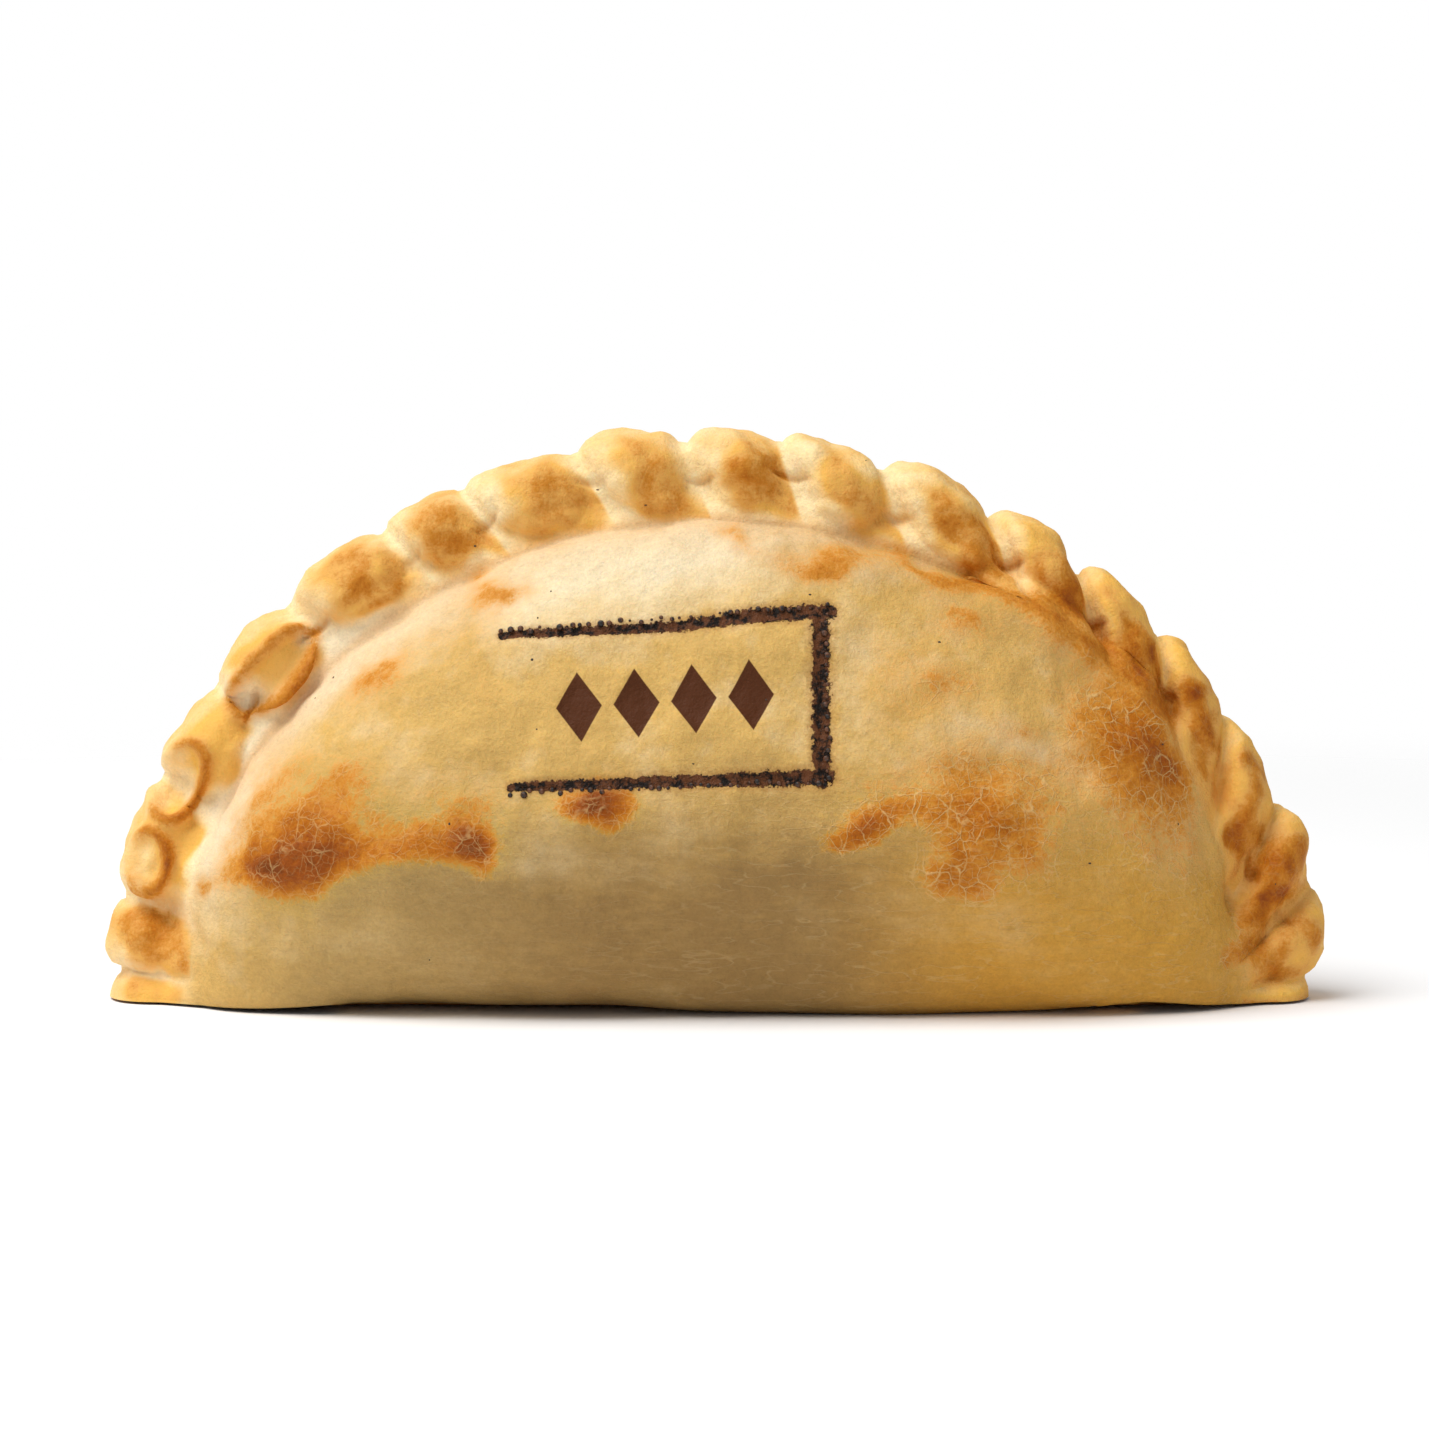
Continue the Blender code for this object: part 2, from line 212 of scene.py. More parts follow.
# Browned spots: x, z, two reaches, tilt and how brown
FRONT_SPOTS = [
    (-43.4, 18.6, 7.6, 6, 30, 0.5),
    (-42.6, 15, 6.2, 3.6, 8, 0.46),
    (-47.4, 12.6, 3.6, 2.4, 5, 0.56),
    (-40.5, 23.5, 3, 2.4, 0, 0.16),
    (-32, 16.6, 6.4, 2.8, 0, 0.46),
    (-26.6, 18.2, 3.8, 4.4, -12, 0.56),
    (-24.6, 15.4, 3.2, 2.4, 0, 0.34),
    (-12.8, 20, 4.2, 3, 0, 0.98),
    (-12, 22.2, 2.4, 1.6, 0, 0.15),
    (15.2, 18.2, 6.2, 2.2, 11, 0.74),
    (29, 18.8, 7.8, 5.4, 0, 0.62),
    (25.5, 13, 3.8, 2.6, 0, 0.38),
    (33.5, 14.5, 3.2, 2, 0, 0.2),
    (43.6, 27.2, 4.8, 7.4, 18, 0.52),
    (48, 25, 1.9, 5.2, 28, 0.34),
    (-35.2, 33, 3.6, 2.7, 10, 0.44),
    (-23, 43, 3.4, 2.2, 5, 0.46),
    (11.8, 46.4, 4.8, 1.7, -8, 0.52),
    (2.7, 49, 2.6, 0.8, -10, 0.3),
    (26.8, 40, 2.7, 1.2, -18, 0.34),
    (20.5, 46.6, 5.5, 1.4, -20, 0.34),
    (27.5, 44, 5.5, 1.7, -22, 0.36),
    (34, 41.2, 5, 1.6, -28, 0.38),
    (40.5, 37.6, 5, 1.6, -36, 0.34),
    (47, 32, 4, 1.4, -48, 0.28),
    (25.1, 32.8, 3, 1.5, 10, 0.22),
    (32, 29.2, 2.6, 1.2, -10, 0.22),
    (26, 35, 13, 9, -20, 0.12),
    (42, 31, 10, 6, -50, 0.12),
    (49, 16, 5, 9, 10, 0.26),
    (60.5, 17, 6, 13, 15, 0.24),
    (-53.8, 11.2, 1.4, 1.1, 0, 0.34),
    (-59.5, 5.4, 4.4, 4.2, 0, 0.44),
    (56.2, 5.6, 2.8, 2.8, 0, 0.46),
    (59.8, 1.6, 4.5, 1.2, 0, 0.4),
    (60.6, 14.6, 3.4, 3.4, 0, 0.34),
    (17.5, 22.5, 8, 2, 15, 0.16),
    (32, 24.5, 8, 2.2, 0, 0.1),
    (-29, 38.5, 6, 3.5, 20, 0.14),
    (-24, 32, 3, 5, 10, 0.12),
    (20, 33, 5, 6, 0, 0.12),
    (39, 12, 8, 8, 0, 0.12),
]
BACK_SPOTS = [
    (42.5, 20, 8.5, 7.2, -15, 0.6),
    (38, 26, 10, 6, -20, 0.14),
    (6, 20, 12, 6, 5, 0.18),
    (-22, 22, 10, 6, -5, 0.16),
    (36, 15, 5.5, 3.2, 5, 0.42),
    (47.5, 25, 3, 4.5, 10, 0.34),
    (13, 16.5, 7.5, 3, 8, 0.6),
    (4.5, 18.5, 4.5, 3.8, 0, 0.62),
    (-1, 14, 3, 2, 0, 0.24),
    (-19.5, 20.5, 7.4, 5.8, -10, 0.6),
    (-26.5, 17, 4.6, 2.8, 10, 0.46),
    (-44, 24, 5.4, 7.8, -20, 0.64),
    (-31, 40.5, 9.5, 2.2, 32, 0.6),
    (-20, 46, 4, 1.4, 18, 0.38),
    (25, 40.5, 4.4, 2.2, -30, 0.46),
    (-4, 44.5, 3.4, 1.7, 0, 0.4),
    (14, 33, 14, 7, 0, 0.15),
    (-22, 31, 9, 5, -15, 0.15),
    (-8, 31, 3, 2, 0, 0.34),
    (30, 27.5, 3.4, 2, 20, 0.26),
    (58, 6, 4, 4, 0, 0.45),
    (-58.5, 6, 4, 4, 0, 0.45),
]
# Floury places, paler than the rest; on the front the band down the left edge, at -52.6 and 19, is partly a
# painted highlight on that steep edge
FRONT_FLOUR_AND_HIGHLIGHT = [
    (-45, 33, 4.5, 11, -38, 0.8),
    (-37, 39.5, 8, 3, 36, 0.6),
    (-53.5, 30, 4, 4, 0, 0.35),
    (-62, 12, 3, 5, 0, 0.12),
    (-5, 46.5, 15, 3.5, 0, 0.3),
    (-52.6, 19, 3, 10, -12, 0.82),
    (14.5, 38, 4, 5, 0, 0.3),
    (34, 26.5, 7, 2.5, -20, 0.35),
    (23, 26, 6, 3, 0, 0.3),
    (-16, 14, 10, 2.2, -5, 0.25),
    (27, 8, 16, 2.5, 0, 0.22),
    (-40, 6, 14, 3.5, 0, 0.25),
    (48, 18, 3, 6, 0, 0.25),
]
BACK_FLOUR = [
    (30, 40, 12, 4, -25, 0.55),
    (-20, 44, 12, 4, 15, 0.45),
    (0, 26, 8, 4, 0, 0.18),
    (-32, 14, 10, 2.5, 0, 0.25),
    (20, 7, 14, 2.5, 0, 0.22),
    (50, 24, 3, 8, 10, 0.4),
]
EDGE_BLEND = 0.24  # how far across the crimped edge the front's and the back's looks run into each other
PAD_CLEAN = 0.7  # how much less flour lies on the pads
# The crimped edge's own colour: how far before and past the groove it begins, wider where it is low
RIM_BEGINS, RIM_SPREAD, LOW_RIM = 0.12, 0.4, 14 * MM
# The groove's painted shade, warmed toward gold: its two ends and their fade in degrees, and its middle and
# reach on the section
GROOVE_SHADE_SPAN, GROOVE_MIDDLE, GROOVE_REACH = (55, 165, 15), 1.05, 0.09
SPOT_SQUARENESS = 0.92  # below 1, a spot fades more softly at its edge
SPOT_WANDER = [(7, 2.2), (2.8, 0.9)]  # how spots are pushed out of shape: size and reach, in mm
BASE_BROWN = 0.62  # how brown the underside is
PAD_PATCHES = (0.58, 0.5, 0.55)  # how patchy the pads are: their mean, and large and small patches
OVERLAP_BROWN = 0.2  # how much a spot and a pad add to each other

# The burnt frame on the front, open on its left: its bars' ends, half width, and how far each thins out
BARS = [
    (-22.6, 38.4, 12.2, 41.2, 0.78, 0.55),
    (11.2, 41, 11.5, 23.2, 0.86, 0),
    (-21.6, 22.4, 12, 23.6, 0.8, 0.45),
]
BAR_DEPTH = 0.4
FRAME_MIDDLE = (-4.0, 31.5)
BEADS_OUT = 0.75  # how far out of a bar's middle its beads lie, as a share of its half width
# The row of four lozenges inside the frame
LOZENGE_PLACES = np.linspace((-14.4, 31.0), (3.9, 32.3), 4)
LOZENGE_HALF = (2.45, 3.75)
LOZENGE_TILT = 4.0
LOZENGE_DEPTH = 0.22

# Colours, as the crust would look under an even white light; the lower belly's colours and the groove tint
# also hold painted shade
PALE = (0.86, 0.72, 0.47)
GOLD = (0.67, 0.42, 0.125)
# The lower belly's colours, left, middle and right: baked light brown, partly painted shade toward the tray
LOWER_LEFT_TAN_AND_SHADE, LOWER_MIDDLE_TAN_AND_SHADE, LOWER_RIGHT_TAN_AND_SHADE = (0.44, 0.285, 0.1), (0.32, 0.19, 0.064), (0.59, 0.305, 0.048)
RIM_PALE, RIM_GOLD = (0.94, 0.75, 0.43), (0.9, 0.52, 0.1)
# The groove tint multiplies the dough beside the groove: painted shade, warmed a little toward gold
FLOUR_WHITE, GROOVE_SHADE_AND_GOLD = (0.93, 0.81, 0.58), (0.84, 0.69, 0.56)
BACK_TINT = (1.0, 0.92, 0.8)
# The colours that the dough takes on as it browns
TOASTED = [
    (0.3, (0.72, 0.35, 0.085)),
    (0.46, (0.6, 0.235, 0.025)),
    (0.62, (0.46, 0.14, 0.006)),
    (0.8, (0.31, 0.072, 0.005)),
    (1.00, (0.19, 0.044, 0.004)),
]
CRACK = (0.74, 0.48, 0.19)
WRINKLE = (0.78, 0.58, 0.28)
CHAR_BLACK, CHAR_BROWN = (0.01, 0.006, 0.004), (0.13, 0.045, 0.016)
SCORCH = (0.4, 0.19, 0.05)
LOZENGE_BROWN = (0.088, 0.026, 0.008)
SPECK_BROWN = (0.055, 0.03, 0.014)

# The crust's material. Noises: size in mm, detail and roughness; cracks: size in mm and width as a share
BROAD, PATCHES, GRAIN, DUST = (9, 3), (2.6, 4, 0.6), (0.8, 3, 0.7), (0.28, 2)
STREAKS, WRINKLES, STREAK_STRETCH = (1.4, 4, 0.65), (1.1, 1.5), (0.22, 0.5, 1)
COARSE_CRACKS, FINE_CRACKS = (2.2, 0.045), (1.1, 0.055)
CRACK_BENDS, CRACK_SWAY = 0.9, 0.75  # how tightly and how far cracks bend, against their size
CRACK_SHOWS, WRINKLE_SHOWS, SCORCH_SHOWS = 0.75, 0.18, 0.55
WRINKLE_WIDTH = 0.03
# Where one look runs into another across or up the plan: from and to, in mm, and the shares there
GOLD_SLOPE, GOLD_FADE = 0.22, (53, 37, 0.05, 1)
LOWER_FADE, LOWER_END_FADE = (31, 8), (-57, -38, 0.15, 1)
LEFT_TO_MIDDLE, MIDDLE_TO_RIGHT = (-45, -8), (8, 32)
RIM_GOLD_FADE = (10, 55, 0.05, 0.75)
CRACK_X_FADE, CRACK_Z_FADE = (-15, 15, 0.55, 1), (40, 32, 0.15, 1)
WRINKLE_X_FADE, WRINKLE_Z_FADE = (-30, 10, 0.4, 1), (32, 14)
STREAK_FADE = (27, 9, 0.2, 0.9)
DARKER_FADE, TOASTED_FADE = (0.0, 0.45), (0.26, 0.56)  # from and to how brown
BUMP_HEIGHT = 0.3 * MM
GLOW = {"Subsurface Weight": 0.14, "Subsurface Radius": (1.0, 0.45, 0.2), "Subsurface Scale": 1.6 * MM}
CRUST_SURFACE = {"Roughness": 0.55, "Specular IOR Level": 0.12, **GLOW}
FLOOR_SURFACE = {"Base Color": (0.95, 0.95, 0.95, 1.0), "Roughness": 0.9, "Specular IOR Level": 0.0}

# Beads and specks: their inputs, and their smallest and largest as shares of their radius
BEAD_SIZES = {"Pitch": 1.05 * MM, "Bead Radius": 0.38 * MM, "Spread": 0.25 * MM}
BEAD_INPUTS = {**BEAD_SIZES, "Seen From": tuple(CAMERA_PLACE), "Seed": 5}
SPECK_INPUTS = {"Specks per Square Metre": 2400.0, "Speck Radius": 0.21 * MM, "Seed": 11}
SOCKET_KINDS = {float: "Float", int: "Int", tuple: "Vector", bpy.types.Object: "Object"}
BEAD_SMALLEST = 0.35
SPECK_SMALLEST, SPECK_LARGEST = (0.3, 0.3, 0.15), (1.0, 0.8, 0.4)
# The room, in metres: the floor's half width and where it fades out, and the light
FLOOR_HALF, FLOOR_FADE = 0.5, (0.16, 0.42)
ROOM_LIGHT = 0.42
LIGHT_PLACE, LIGHT_SIZE, LIGHT_POWER = (-0.46, -0.26, 1.00), 0.8, 12.8


def ease(share):
    """A share from 0 to 1 with its two ends eased."""
    share = np.clip(share, 0.0, 1.0)
    return share * share * (3 - 2 * share)


def fold_share(angle):
    """Which fold an angle in degrees is in, and how far through it, from 0 to 1."""
    fold = np.clip(np.searchsorted(FOLD_START, angle) - 1, 0, len(FOLDS) - 2)
    return fold, (angle - FOLD_START[fold]) / (FOLD_START[fold + 1] - FOLD_START[fold])


def fold_at(angle, inward=0.0):
    """How full the fold at an angle in degrees is, from 0 in a notch to 1 on its crest, and its outline."""
    fold, share = fold_share(angle)
    leaning = np.clip((share - FOLD_GAP / 2) / (1 - FOLD_GAP), 0.0, 1.0) ** FOLD_LEAN
    fall = np.abs(2 * leaning - 1) ** FOLD_ALONG + np.clip(inward, 0.0, 1.0) ** FOLD_INWARD
    full = (1 - fall).clip(0.0) ** FOLD_ROUND
    notch = -FOLD_NOTCH[fold] * (1 - share) - FOLD_NOTCH[fold + 1] * share
    return full, (notch + (FOLD_CREST[fold] - notch) * full) * MM


def belly_half(x, z, share, groove_half):
    """Half of the belly's thickness at x and z, a share of the way from the base to the groove."""
    rise = np.clip(z / BELLY_HEIGHT, 0.0, 1.0)
    lower = BASE_SHARE + (1 - BASE_SHARE) * (1 - (1 - rise) ** 2) ** BASE_ROUND
    ends = 1 - END_TAPER * np.abs(2 * x / LENGTH) ** END_POWER
    shoulder = (1 - share**SHOULDER_IN).clip(0.0) ** SHOULDER_OUT
    return groove_half + (THICKNESS / 2 - groove_half) * shoulder * lower * ends


def rim_half(angle, across, groove_half, z):
    """Half of the crimped edge's thickness, a share of the way across from the groove to its outer side."""
    full, _ = fold_at(angle, (1 - across) / (1 - FLAT_BAND))
    half = VALLEY_HALF + (CREST_HALF - VALLEY_HALF) * full
    half += (FOOT_HALF - half) * (1 - ease(z / FOOT_HEIGHT))
    half = groove_half + (half - groove_half) * ease(across / CREST_FROM)
    outer = np.clip((across - ROUND_FROM) / (1 - ROUND_FROM), 0.0, 1.0)
    return half * np.sqrt(1 - outer**ROUND_POWER)


def evenly(line, marks, counts):
    """Evenly spaced points of a line in each stretch between the marks, which are points of it."""
    steps = np.linalg.norm(np.diff(line[:, :3], axis=0), axis=1)
    along = np.concatenate([[0.0], np.cumsum(steps)])
    wanted = [[0.0]]
    for low, high, count in zip(marks, marks[1:], counts):
        wanted.append(np.linspace(along[low], along[high], count + 1)[1:])
    wanted = np.concatenate(wanted)
    return np.stack([np.interp(wanted, along, values) for values in line.T], axis=-1)


def soften(line):
    """A line of evenly spaced points smoothed over the softening radius, with its two ends kept."""
    step = np.linalg.norm(np.diff(line[:, :3], axis=0), axis=1).mean()
    reach = max(1, round(3 * SOFTENING / step))
    weights = np.exp(-0.5 * (np.arange(-reach, reach + 1) * step / SOFTENING) ** 2)
    weights /= weights.sum()
    before = 2 * line[0] - line[reach:0:-1]
    after = 2 * line[-1] - line[-2 : -reach - 2 : -1]
    longer = np.concatenate([before, line, after])
    return np.stack([np.convolve(values, weights, mode="valid") for values in longer.T], axis=-1)


def bridge(line, angle):
    """How far out the dough that crosses the groove at an angle stands over a front line, in metres."""
    share = 0.0
    for first, last, filled in BRIDGES:
        inside = ease((angle - first) / BRIDGE_FADE) * ease((last - angle) / BRIDGE_FADE)
        share = max(share, filled * inside)
    low, high = np.searchsorted(line[:, 3], BRIDGE_SPAN)
    across = (line[:, 3] - line[low, 3]) / (line[high, 3] - line[low, 3])
    straight = line[low, 1] + (line[high, 1] - line[low, 1]) * across.clip(0.0, 1.0)
    over = (straight - line[:, 1]).clip(0.0)
    return share * np.where((across > 0) & (across < 1), over, 0.0)


def profile(angle, side, belly_steps, rim_steps):
    """One side of the section at an angle: rows of x, y, z and of how far along it is, 1 at the groove."""
    polar = math.radians(angle)
    turn = math.atan2(math.sin(polar) / HEIGHT, math.cos(polar) / (LENGTH / 2))
    eased = np.sin(np.linspace(0.0, math.pi / 2, SAMPLES))
    share = np.concatenate([eased, np.ones(SAMPLES - 1)])
    across = np.concatenate([np.zeros(SAMPLES), eased[1:]])
    slant = np.interp(angle, FOLD_START, FOLD_SLANT) * MM / (LENGTH / 2)
    slant *= ease(math.sin(turn) * HEIGHT / SLANT_HEIGHT)
    turns = turn - side * slant * ease(share) * (1 - across)
    oval = np.stack([LENGTH / 2 * np.cos(turns), HEIGHT * np.sin(turns)])
    foot = np.stack([FOOT_REACH * oval[0], np.zeros_like(turns)])
    length = np.linalg.norm(oval - foot, axis=0)
    groove = length - RIM_WIDTH
    width = RIM_WIDTH + fold_at(angle)[1]
    x, z = foot + (oval - foot) / length * (groove * share + width * across)
    low = (1 - np.sin(turns)) ** GROOVE_SPREAD
    groove_half = GROOVE_HALF + (GROOVE_HALF_AT_FEET - GROOVE_HALF) * low
    half = belly_half(x, z, share, groove_half)
    half[SAMPLES:] = rim_half(angle, across, groove_half, z)[SAMPLES:]
    line = np.stack([x, half, z, share + across], axis=-1)
    line = evenly(line, [0, SAMPLES - 1, 2 * SAMPLES - 2], [SAMPLES, SAMPLES])
    if side > 0:
        line[:, 1] += bridge(line, angle)
    line = evenly(soften(line), [0, SAMPLES, 2 * SAMPLES], [belly_steps, rim_steps])
    line[-1, 1] = 0.0
    outward = ease((line[:, 2] + np.abs(line[:, 0]) - SWAY_FROM) / SWAY_REACH)
    sway = EDGE_SWAY * math.sin(SWAY_TURNS * polar) * math.sin(turn) * outward
    return np.stack([line[:, 0], sway - side * line[:, 1], line[:, 2].clip(0.0), line[:, 3]], axis=-1)


def ring_angles():
    """The angles of the rings: each fold has some of its own, so that its valleys fall on rings."""
    angles = [0.0]
    for low, high in zip(FOLD_START.clip(0.0, 180.0), FOLD_START[1:].clip(0.0, 180.0)):
        count = max(2, round((high - low) / RING_SPACING))
        angles.extend(np.linspace(low, high, count + 1)[1:])
    return np.array(angles)


class Crust:
    """What is known of each point of the crust: its place, how far along its section it is, its side."""

    def __init__(self):
        angles = ring_angles()
        front = [profile(angle, 1, FRONT_BELLY_STEPS, FRONT_RIM_STEPS) for angle in angles]
        back = [profile(angle, -1, BACK_BELLY_STEPS, BACK_RIM_STEPS) for angle in angles]
        self.rows = []
        self.faces = []
        rings = [self.add_ring(angle, *sides) for angle, *sides in zip(angles, front, back)]
        for lower, upper in zip(rings, rings[1:]):
            after_lower, after_upper = np.roll(lower, -1), np.roll(upper, -1)
            self.faces.append(np.stack([lower, after_lower, after_upper, upper], axis=-1))
        self.close_end(front[0], back[0], rings[0], angles[0], flip=True)
        self.close_end(front[-1], back[-1], rings[-1], angles[-1], flip=False)
        rows = np.concatenate(self.rows)
        self.points, self.along, self.angle, self.side = rows[:, :3], rows[:, 3], rows[:, 4], rows[:, 5]
        self.faces = np.concatenate(self.faces)
        self.facing = 0.5 + 0.5 * self.side * ease((2 - self.along) / EDGE_BLEND)

    def by_side(self, front, back):
        """The front's value on the front, the back's on the back, and both mixed at the outer edge."""
        return back + (front - back) * self.facing

    def lumps(self, size, seed):
        """Soft noise from -1 to 1 whose lumps are about a size in mm across."""
        scaled = self.points / (size * MM) + seed * LUMP_SHIFT
        return np.array([noise.noise(place) for place in scaled.tolist()])

    def add_points(self, points, along, angle, side):
        """Adds points and returns their numbers."""
        first = sum(len(rows) for rows in self.rows)
        values = [np.broadcast_to(value, len(points)) for value in (along, angle, side)]
        self.rows.append(np.column_stack([points, *values]))
        return np.arange(first, first + len(points))

    def flat_row(self, front_point, back_point):
        """Points on the tray from under one point of the back to under one of the front."""
        share = np.linspace(-BASE_FLAT, BASE_FLAT, FLAT_STEPS)[:, None]
        middle, half = (front_point + back_point) / 2, (front_point - back_point) / 2
        return (middle + share * half) * [1.0, 1.0, 0.0]

    def add_ring(self, angle, front, back):
        """One ring round the section: up the front, down the back and across the base."""
        sides = np.concatenate([front, back[-2::-1]])
        side = np.concatenate([np.ones(len(front)), -np.ones(len(back) - 1)])
        around = self.add_points(sides[:, :3], sides[:, 3], angle, side)
        flat = self.add_points(self.flat_row(front[0, :3], back[0, :3]), 0.0, angle, 0.0)
        return np.concatenate([around, flat])

    def close_end(self, front, back, ring, angle, flip):
        """The base from a first or last ring to its outer edge: rows from the front to the back."""
        tip = len(front) - 1
        back_numbers = ring[tip : tip + len(back)][::-1]
        steps = np.linspace(0, len(back) - 1, tip + 1).round().astype(int)
        row = np.concatenate([[ring[0]], ring[len(ring) - FLAT_STEPS :][::-1], [back_numbers[0]]])
        for k in range(1, tip):
            flat = self.flat_row(front[k, :3], back[steps[k], :3])[::-1]
            numbers = self.add_points(flat, front[k, 3], angle, 0.0)
            ahead = np.concatenate([[ring[k]], numbers, [back_numbers[steps[k]]]])
            self.add_strip(row, ahead, flip)
            row = ahead
        self.add_strip(row, np.full(len(row), ring[tip]), flip)

    def add_strip(self, row, ahead, flip):
        """Faces between two rows of the same length."""
        strip = np.stack([row[:-1], row[1:], ahead[1:], ahead[:-1]], axis=-1)
        self.faces.append(strip[:, ::-1] if flip else strip)


def plan_of(points):
    """Where points lie on the plan, in mm: the upright middle plane, seen from the camera."""
    eye = np.array(CAMERA_PLACE)
    share = eye[1] / (eye[1] - points[:, 1])
    return (eye[[0, 2]] + (points[:, [0, 2]] - eye[[0, 2]]) * share[:, None]) / MM


def blobs(plan, table, squareness=1.0):
    """The sum of the soft ovals in a table at places of the plan."""
    total = np.zeros(len(plan))
    for x, z, reach_along, reach_across, tilt, rise in table:
        along, across = turned_by(plan, x, z, tilt)
        far = (along / reach_along) ** 2 + (across / reach_across) ** 2
        total += rise * np.exp(-(far**squareness))
    return total


def turned_by(plan, x, z, tilt):
    """Distances along and across a tilted direction from a place of the plan."""
    dx, dz, turn = plan[:, 0] - x, plan[:, 1] - z, math.radians(tilt)
    return dx * math.cos(turn) + dz * math.sin(turn), dz * math.cos(turn) - dx * math.sin(turn)


def pressed(plan):
    """The pressed hollows and lips, in mm, and how much of a lip and of a hollow is at each place."""
    total, lips, hollows = np.zeros(len(plan)), np.zeros(len(plan)), np.zeros(len(plan))
    for x, z, reach_along, reach_across, tilt, depth, lip, lip_way in PRESSED:
        along, across = turned_by(plan, x, z, tilt)
        far = np.hypot(along / reach_along, across / reach_across)
        steep = np.hypot(along / reach_along**2, across / reach_across**2) / far.clip(0.05)
        way = np.arctan2(plan[:, 1] - z, plan[:, 0] - x) - math.radians(lip_way)
        edge = np.exp(-(((far - 1.0) / (LIP_HALF * steep)) ** 2))
        edge *= (1 + LIP_LOWEST + (1 - LIP_LOWEST) * np.cos(way)) / 2
        hollow = np.exp(-(far**4))
        total += lip * edge - depth * hollow
        lips, hollows = np.maximum(lips, edge), np.maximum(hollows, hollow)
    return total, lips, hollows


def ledges(plan):
    """The ledges of the front, in mm."""
    total = np.zeros(len(plan))
    for x0, z0, x1, z1, rise in LEDGES:
        share = (plan[:, 0] - x0) / (x1 - x0)
        above = plan[:, 1] - (z0 + (z1 - z0) * share)
        inside = ease(share / LEDGE_FADE) * ease((1 - share) / LEDGE_FADE)
        step = np.where(above > 0, np.exp(-above / (4 * LEDGE_REACH)), -np.exp(above / LEDGE_REACH))
        total += rise * inside * step * ease(np.abs(above) / LEDGE_REACH)
    return total


def pinches(crust):
    """The pinches in the valleys, each a little different, from 0 to 1."""
    total = np.zeros(len(crust.along))
    chance = np.random.default_rng(4)
    for start in FOLD_START[2:-3]:
        moved = chance.uniform(-PINCH_MOVED, PINCH_MOVED)
        strength = chance.uniform(*PINCH_STRENGTH)
        bend = chance.uniform(-PINCH_BEND, PINCH_BEND)
        along = (crust.angle - start) * ARC_PER_DEGREE
        across = (crust.along - 1 - PINCH_ACROSS - moved) * RIM_WIDTH / MM + bend * along
        far = (along / PINCH_REACH[0]) ** 2 + (across / PINCH_REACH[1]) ** 2
        total = np.maximum(total, strength * np.exp(-(far**1.5)) * (crust.side != 0))
    return total


def bar_distance(plan):
    """How far places of the plan are from the nearest bar's middle line, as a share of its half width."""
    nearest = np.full(len(plan), 99.0)
    for x0, z0, x1, z1, half, thinning in BARS:
        line = np.array([x1 - x0, z1 - z0])
        share = (((plan - [x0, z0]) @ line) / (line @ line)).clip(0.0, 1.0)
        far = np.linalg.norm(plan - [x0, z0] - share[:, None] * line, axis=1)
        nearest = np.minimum(nearest, far / (half * (1 - thinning * (1 - share))))
    return nearest


def lozenge_distance(plan):
    """How far places of the plan are from the nearest lozenge's middle, 1 on its outline."""
    nearest = np.full(len(plan), 99.0)
    for middle in LOZENGE_PLACES:
        along, across = turned_by(plan, *middle, LOZENGE_TILT)
        nearest = np.minimum(nearest, np.abs(along) / LOZENGE_HALF[0] + np.abs(across) / LOZENGE_HALF[1])
    return nearest


def solid_relief(crust):
    """The relief that the solid has too, in metres."""
    plane = crust.points[:, [0, 2]] / MM
    front, back = blobs(plane, FRONT_RELIEF), blobs(plane, BACK_RELIEF)
    fade = ease(crust.points[:, 2] / RELIEF_ABOVE)
    fade *= ease(np.abs(crust.points[:, 1]) / RELIEF_OUTSIDE)
    return np.where(crust.side > 0, front, back) * (crust.side != 0) * fade * MM


def fine_relief(crust, plan):
    """Blisters, ledges, pressed hollows, burns and lumps, in metres."""
    front = crust.side > 0
    on_rim = ease((crust.along - RIM_LUMPS_BEGIN) / RIM_LUMPS_FADE)
    total = np.where(front, blobs(plan, FRONT_DETAIL) + ledges(plan) + pressed(plan)[0], 0.0)
    total -= PINCH_DEPTH * pinches(crust)
    burn = np.exp(-(bar_distance(plan) ** 2))
    mark = 1 - ease((lozenge_distance(plan) - 0.85) / 0.2)
    total -= np.where(front, BAR_DEPTH * burn + LOZENGE_DEPTH * mark, 0.0)
    for k, (size, rise) in enumerate(LUMPS):
        total += rise * crust.lumps(size, k + 1) * (1 - RIM_CALM * on_rim)
    for k, (size, rise) in enumerate(RIM_LUMPS):
        total += rise * crust.lumps(size, k + 11) * on_rim
    above = ease((crust.points[:, 2] / MM - SMOOTH_BELOW) / SMOOTH_FADE)
    return total * above * (crust.side != 0) * MM


def lift_base(points, side):
    """Lifts the lower edge where it has left the tray, and all but three spots of the base a little."""
    for x, reach, lift in BASE_LIFTS:
        near = np.exp(-(((points[:, 0] / MM - x) / reach) ** 2))
        points[:, 2] += lift * MM * near * (1 - ease(points[:, 2] / LIFT_HEIGHT)) * (side != 0)
    far = [np.hypot(points[:, 0] / MM - x, points[:, 1] / MM - y) / REST_REACH for x, y in REST_SPOTS]
    gap = BASE_GAP * (1 - np.exp(-(np.min(far, axis=0) ** 2)))
    points[:, 2] += gap * (1 - ease(points[:, 2] / LIFT_HEIGHT))


def vertex_normals(mesh):
    """The normals of a mesh's vertices."""
    return np.array([normal.vector[:] for normal in mesh.vertex_normals])


